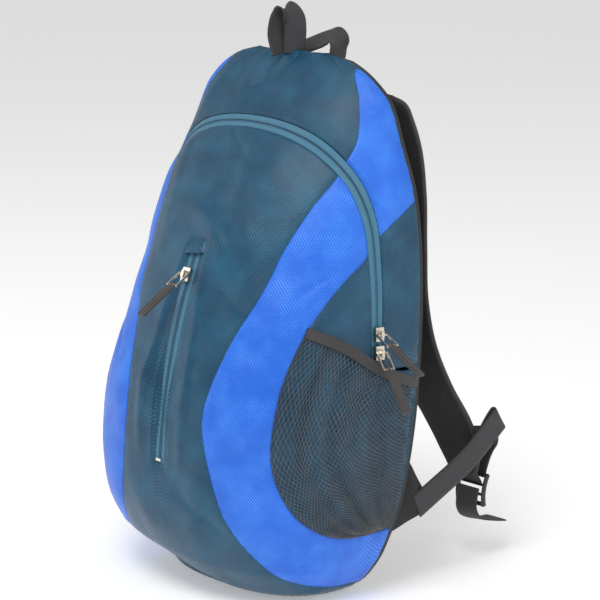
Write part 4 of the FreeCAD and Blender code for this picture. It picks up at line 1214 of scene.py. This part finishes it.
# hang loop and grab handle
loopRows = np.array([(6, 49, 468), (6.5, 49, 480), (7, 49, 491), (6, 48.5, 499), (2.5, 46, 504.5),
                     (-1, 43, 506.5), (-4, 41, 502.5), (-6, 39.5, 494), (-6.5, 39, 485), (-5, 40, 476),
                     (-3, 41.5, 468)]) * mm
loopPath = splineRows(loopRows, 90)
a = ease(np.clip((np.linspace(0, 1, 90) - 0.38) / 0.24, 0, 1)[:, None])
loopSides = (1 - a) * np.array([0.74, 0.67, 0.0]) + a * np.array([0.10, 0.97, 0.15])
hangLoop = webbingBand("hangLoop", loopPath, 0.78, loopSides)
finish(hangLoop, webbingDark, None, ("hang_loop",))
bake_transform(hangLoop)

handleRows = np.array([(-36, 68, 449), (-31, 71, 460), (-20, 74, 467), (0, 76, 474), (18, 76, 480),
                       (30, 75, 483.5),
                       (36.5, 73, 480), (38, 71, 470), (37.5, 69, 458), (37, 68, 449)]) * mm
handlePath = splineRows(handleRows, 70)
a = np.sin(np.linspace(0, math.pi, 70))
lean = np.stack([np.zeros(70), 1.0 - 0.35 * a, 0.75 * a], -1)
handle = webbingBand("grabHandle", handlePath, 0.8, lean)
finish(handle, webbingDark, None, ("grab_handle",))
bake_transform(handle)
print("stage: loop and handle made")


# pullers: a ribbon folded on itself round the wire frame, with a raised rib and a square end
pulls = {"pinch": 0.72, "pinchRun": 0.14}


def nodeAxes(name):
    # length, width and thickness directions of a frame node, from its own spread
    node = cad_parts[name]
    count = len(node.data.vertices)
    points = np.zeros(count * 3)
    node.data.vertices.foreach_get("co", points)
    turned = points.reshape(-1, 3) @ np.array(node.matrix_world.to_3x3()).T
    points = turned + np.array(node.matrix_world.translation)
    axes = np.linalg.eigh(np.cov((points - points.mean(0)).T))[1]
    axes = axes[:, ::-1].T
    spread = [(points @ axis).max() - (points @ axis).min() for axis in axes]
    middle = sum(((points @ axis).max() + (points @ axis).min()) / 2 * axis for axis in axes)
    return middle, axes, spread


def pullRibbon(name, nodeName, eye):
    # flat sides with a rib down the middle, narrowed at the wire and squared off at the end
    middle, axes, spread = nodeAxes(nodeName)
    along, across = axes[0], axes[1]
    if np.dot(np.array(eye) - middle, along) > 0:
        along = -along
    s = np.linspace(-0.5, 0.5, 60)
    path = middle + along * (s * spread[0])[:, None]
    x = np.linspace(-1, 1, 24)
    rise = 0.62 + 0.38 * np.exp(-(x / 0.28) ** 2) + 0.25 * np.exp(-((np.abs(x) - 0.92) / 0.10) ** 2)
    outline = np.concatenate([np.stack([x, rise], -1), np.stack([x[::-1], -rise[::-1]], -1)])
    pinched = pulls["pinch"] + (1 - pulls["pinch"]) * (s + 0.5) / pulls["pinchRun"]
    width = 0.5 * spread[1] * np.where(s < pulls["pinchRun"] - 0.5, pinched, 1.0)
    width = width * np.clip(1.02 - np.exp((s - 0.5) / 0.006) * 0.12, 0, 1)
    thick = 0.5 * spread[2] * (1.0 + 0.35 * np.exp(-((s - 0.42) / 0.03) ** 2)) * 0.95
    return sweepPiece(name, path, outline[None] * np.stack([width, thick], -1)[:, None], across)


def plated(node):
    # a frame node keeps its own mesh and gets the metal
    node.data.materials.clear()
    node.data.materials.append(metal)


# each set: its frame nodes' first name, its puller's body and the wire's eye in metres
for name, body, eye in (("pocket", "pocket_puller", (0, -0.07988, 0.2884)),
                        ("main_upper", "upper_puller", (0.14419, 0.01589, 0.24265)),
                        ("main_lower", "lower_puller", (0.14575, 0.01484, 0.22676))):
    ribbon = pullRibbon(name.replace("main_", "") + "PullRibbon", name + "_pull_ribbon", eye)
    finish(ribbon, rubberRibbon, body, (name + "_pull_ribbon",))
    for part in ("_slider", "_pull_frame"):
        plated(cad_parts[name + part])
        modifier(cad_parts[name + part], "BEVEL", width=0.00025, segments=2, limit_method="ANGLE")
plated(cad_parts["pocket_zip_stop"])
print("stage: pullers made")


# studio
def addLight(name, place, aim, energy, size, colour=(1, 1, 1)):
    # a square soft light that looks at a point
    lamp = bpy.data.lights.new(name, "AREA")
    lamp.energy, lamp.color, lamp.size = energy, colour, size
    holder = bpy.data.objects.new(name, lamp)
    bpy.context.collection.objects.link(holder)
    holder.location = place
    holder.rotation_euler = (Vector(aim) - Vector(place)).to_track_quat("-Z", "Y").to_euler()


def studio():
    # a wide pale floor that glows a little, so that it stays pale to the horizon; one soft key, two fills
    r, a = np.meshgrid([0.01, 1.0, 3.0, 8.0, 30.0], np.linspace(0, 2 * math.pi, 49)[:-1], indexing="ij")
    grid = np.stack([r * np.cos(a), r * np.sin(a), np.full(r.shape, -0.0004)], -1)
    floor = makeMesh("studioFloor", grid, gridFaces(5, 48, wrapColumns=True))
    pale = Finish("studioPale", Roughness=0.9, Emission_Strength=0.30)
    pale.shader.inputs["Emission Color"].default_value = rgb(1.0, 1.0, 1.0)
    pale.feed("Base Color", pale.mix(pale.noise(2.0), rgb(0.86, 0.86, 0.86), rgb(0.90, 0.90, 0.90)))
    floor.data.materials.append(pale.material)
    addLight("keyLight", (0.5, -1.3, 2.5), (0, 0, 0.25), 40, 1.1, (1.0, 0.985, 0.96))
    addLight("sideFill", (2.2, 0.3, 1.1), (0, 0, 0.25), 12, 1.6, (0.95, 0.98, 1.0))
    addLight("leftFill", (-1.8, -1.2, 0.9), (0, 0, 0.22), 7, 1.4)
    world = bpy.data.worlds.new("studioWorld")
    world.use_nodes = True
    world.node_tree.nodes["Background"].inputs["Color"].default_value = rgb(1.0, 1.0, 1.0)
    world.node_tree.nodes["Background"].inputs["Strength"].default_value = 0.45
    bpy.context.scene.world = world


def camera():
    # a long lens at the object's front right, thirteen degrees above level
    azimuth, elevation, distance = math.radians(45), math.radians(13), 1.9
    aim = Vector((0.0278, 0.034, 0.251))
    level = math.cos(elevation)
    back = Vector((math.sin(azimuth) * level, -math.cos(azimuth) * level, math.sin(elevation)))
    lens = bpy.data.cameras.new("viewCamera")
    lens.lens, lens.sensor_width = 127.7, 36
    eye = bpy.data.objects.new("viewCamera", lens)
    bpy.context.collection.objects.link(eye)
    eye.location = aim + back * distance
    eye.rotation_euler = back.to_track_quat("Z", "Y").to_euler()
    bpy.context.scene.camera = eye


studio()
camera()
bpy.context.scene.view_settings.view_transform = "Standard"
print("stage: studio set")
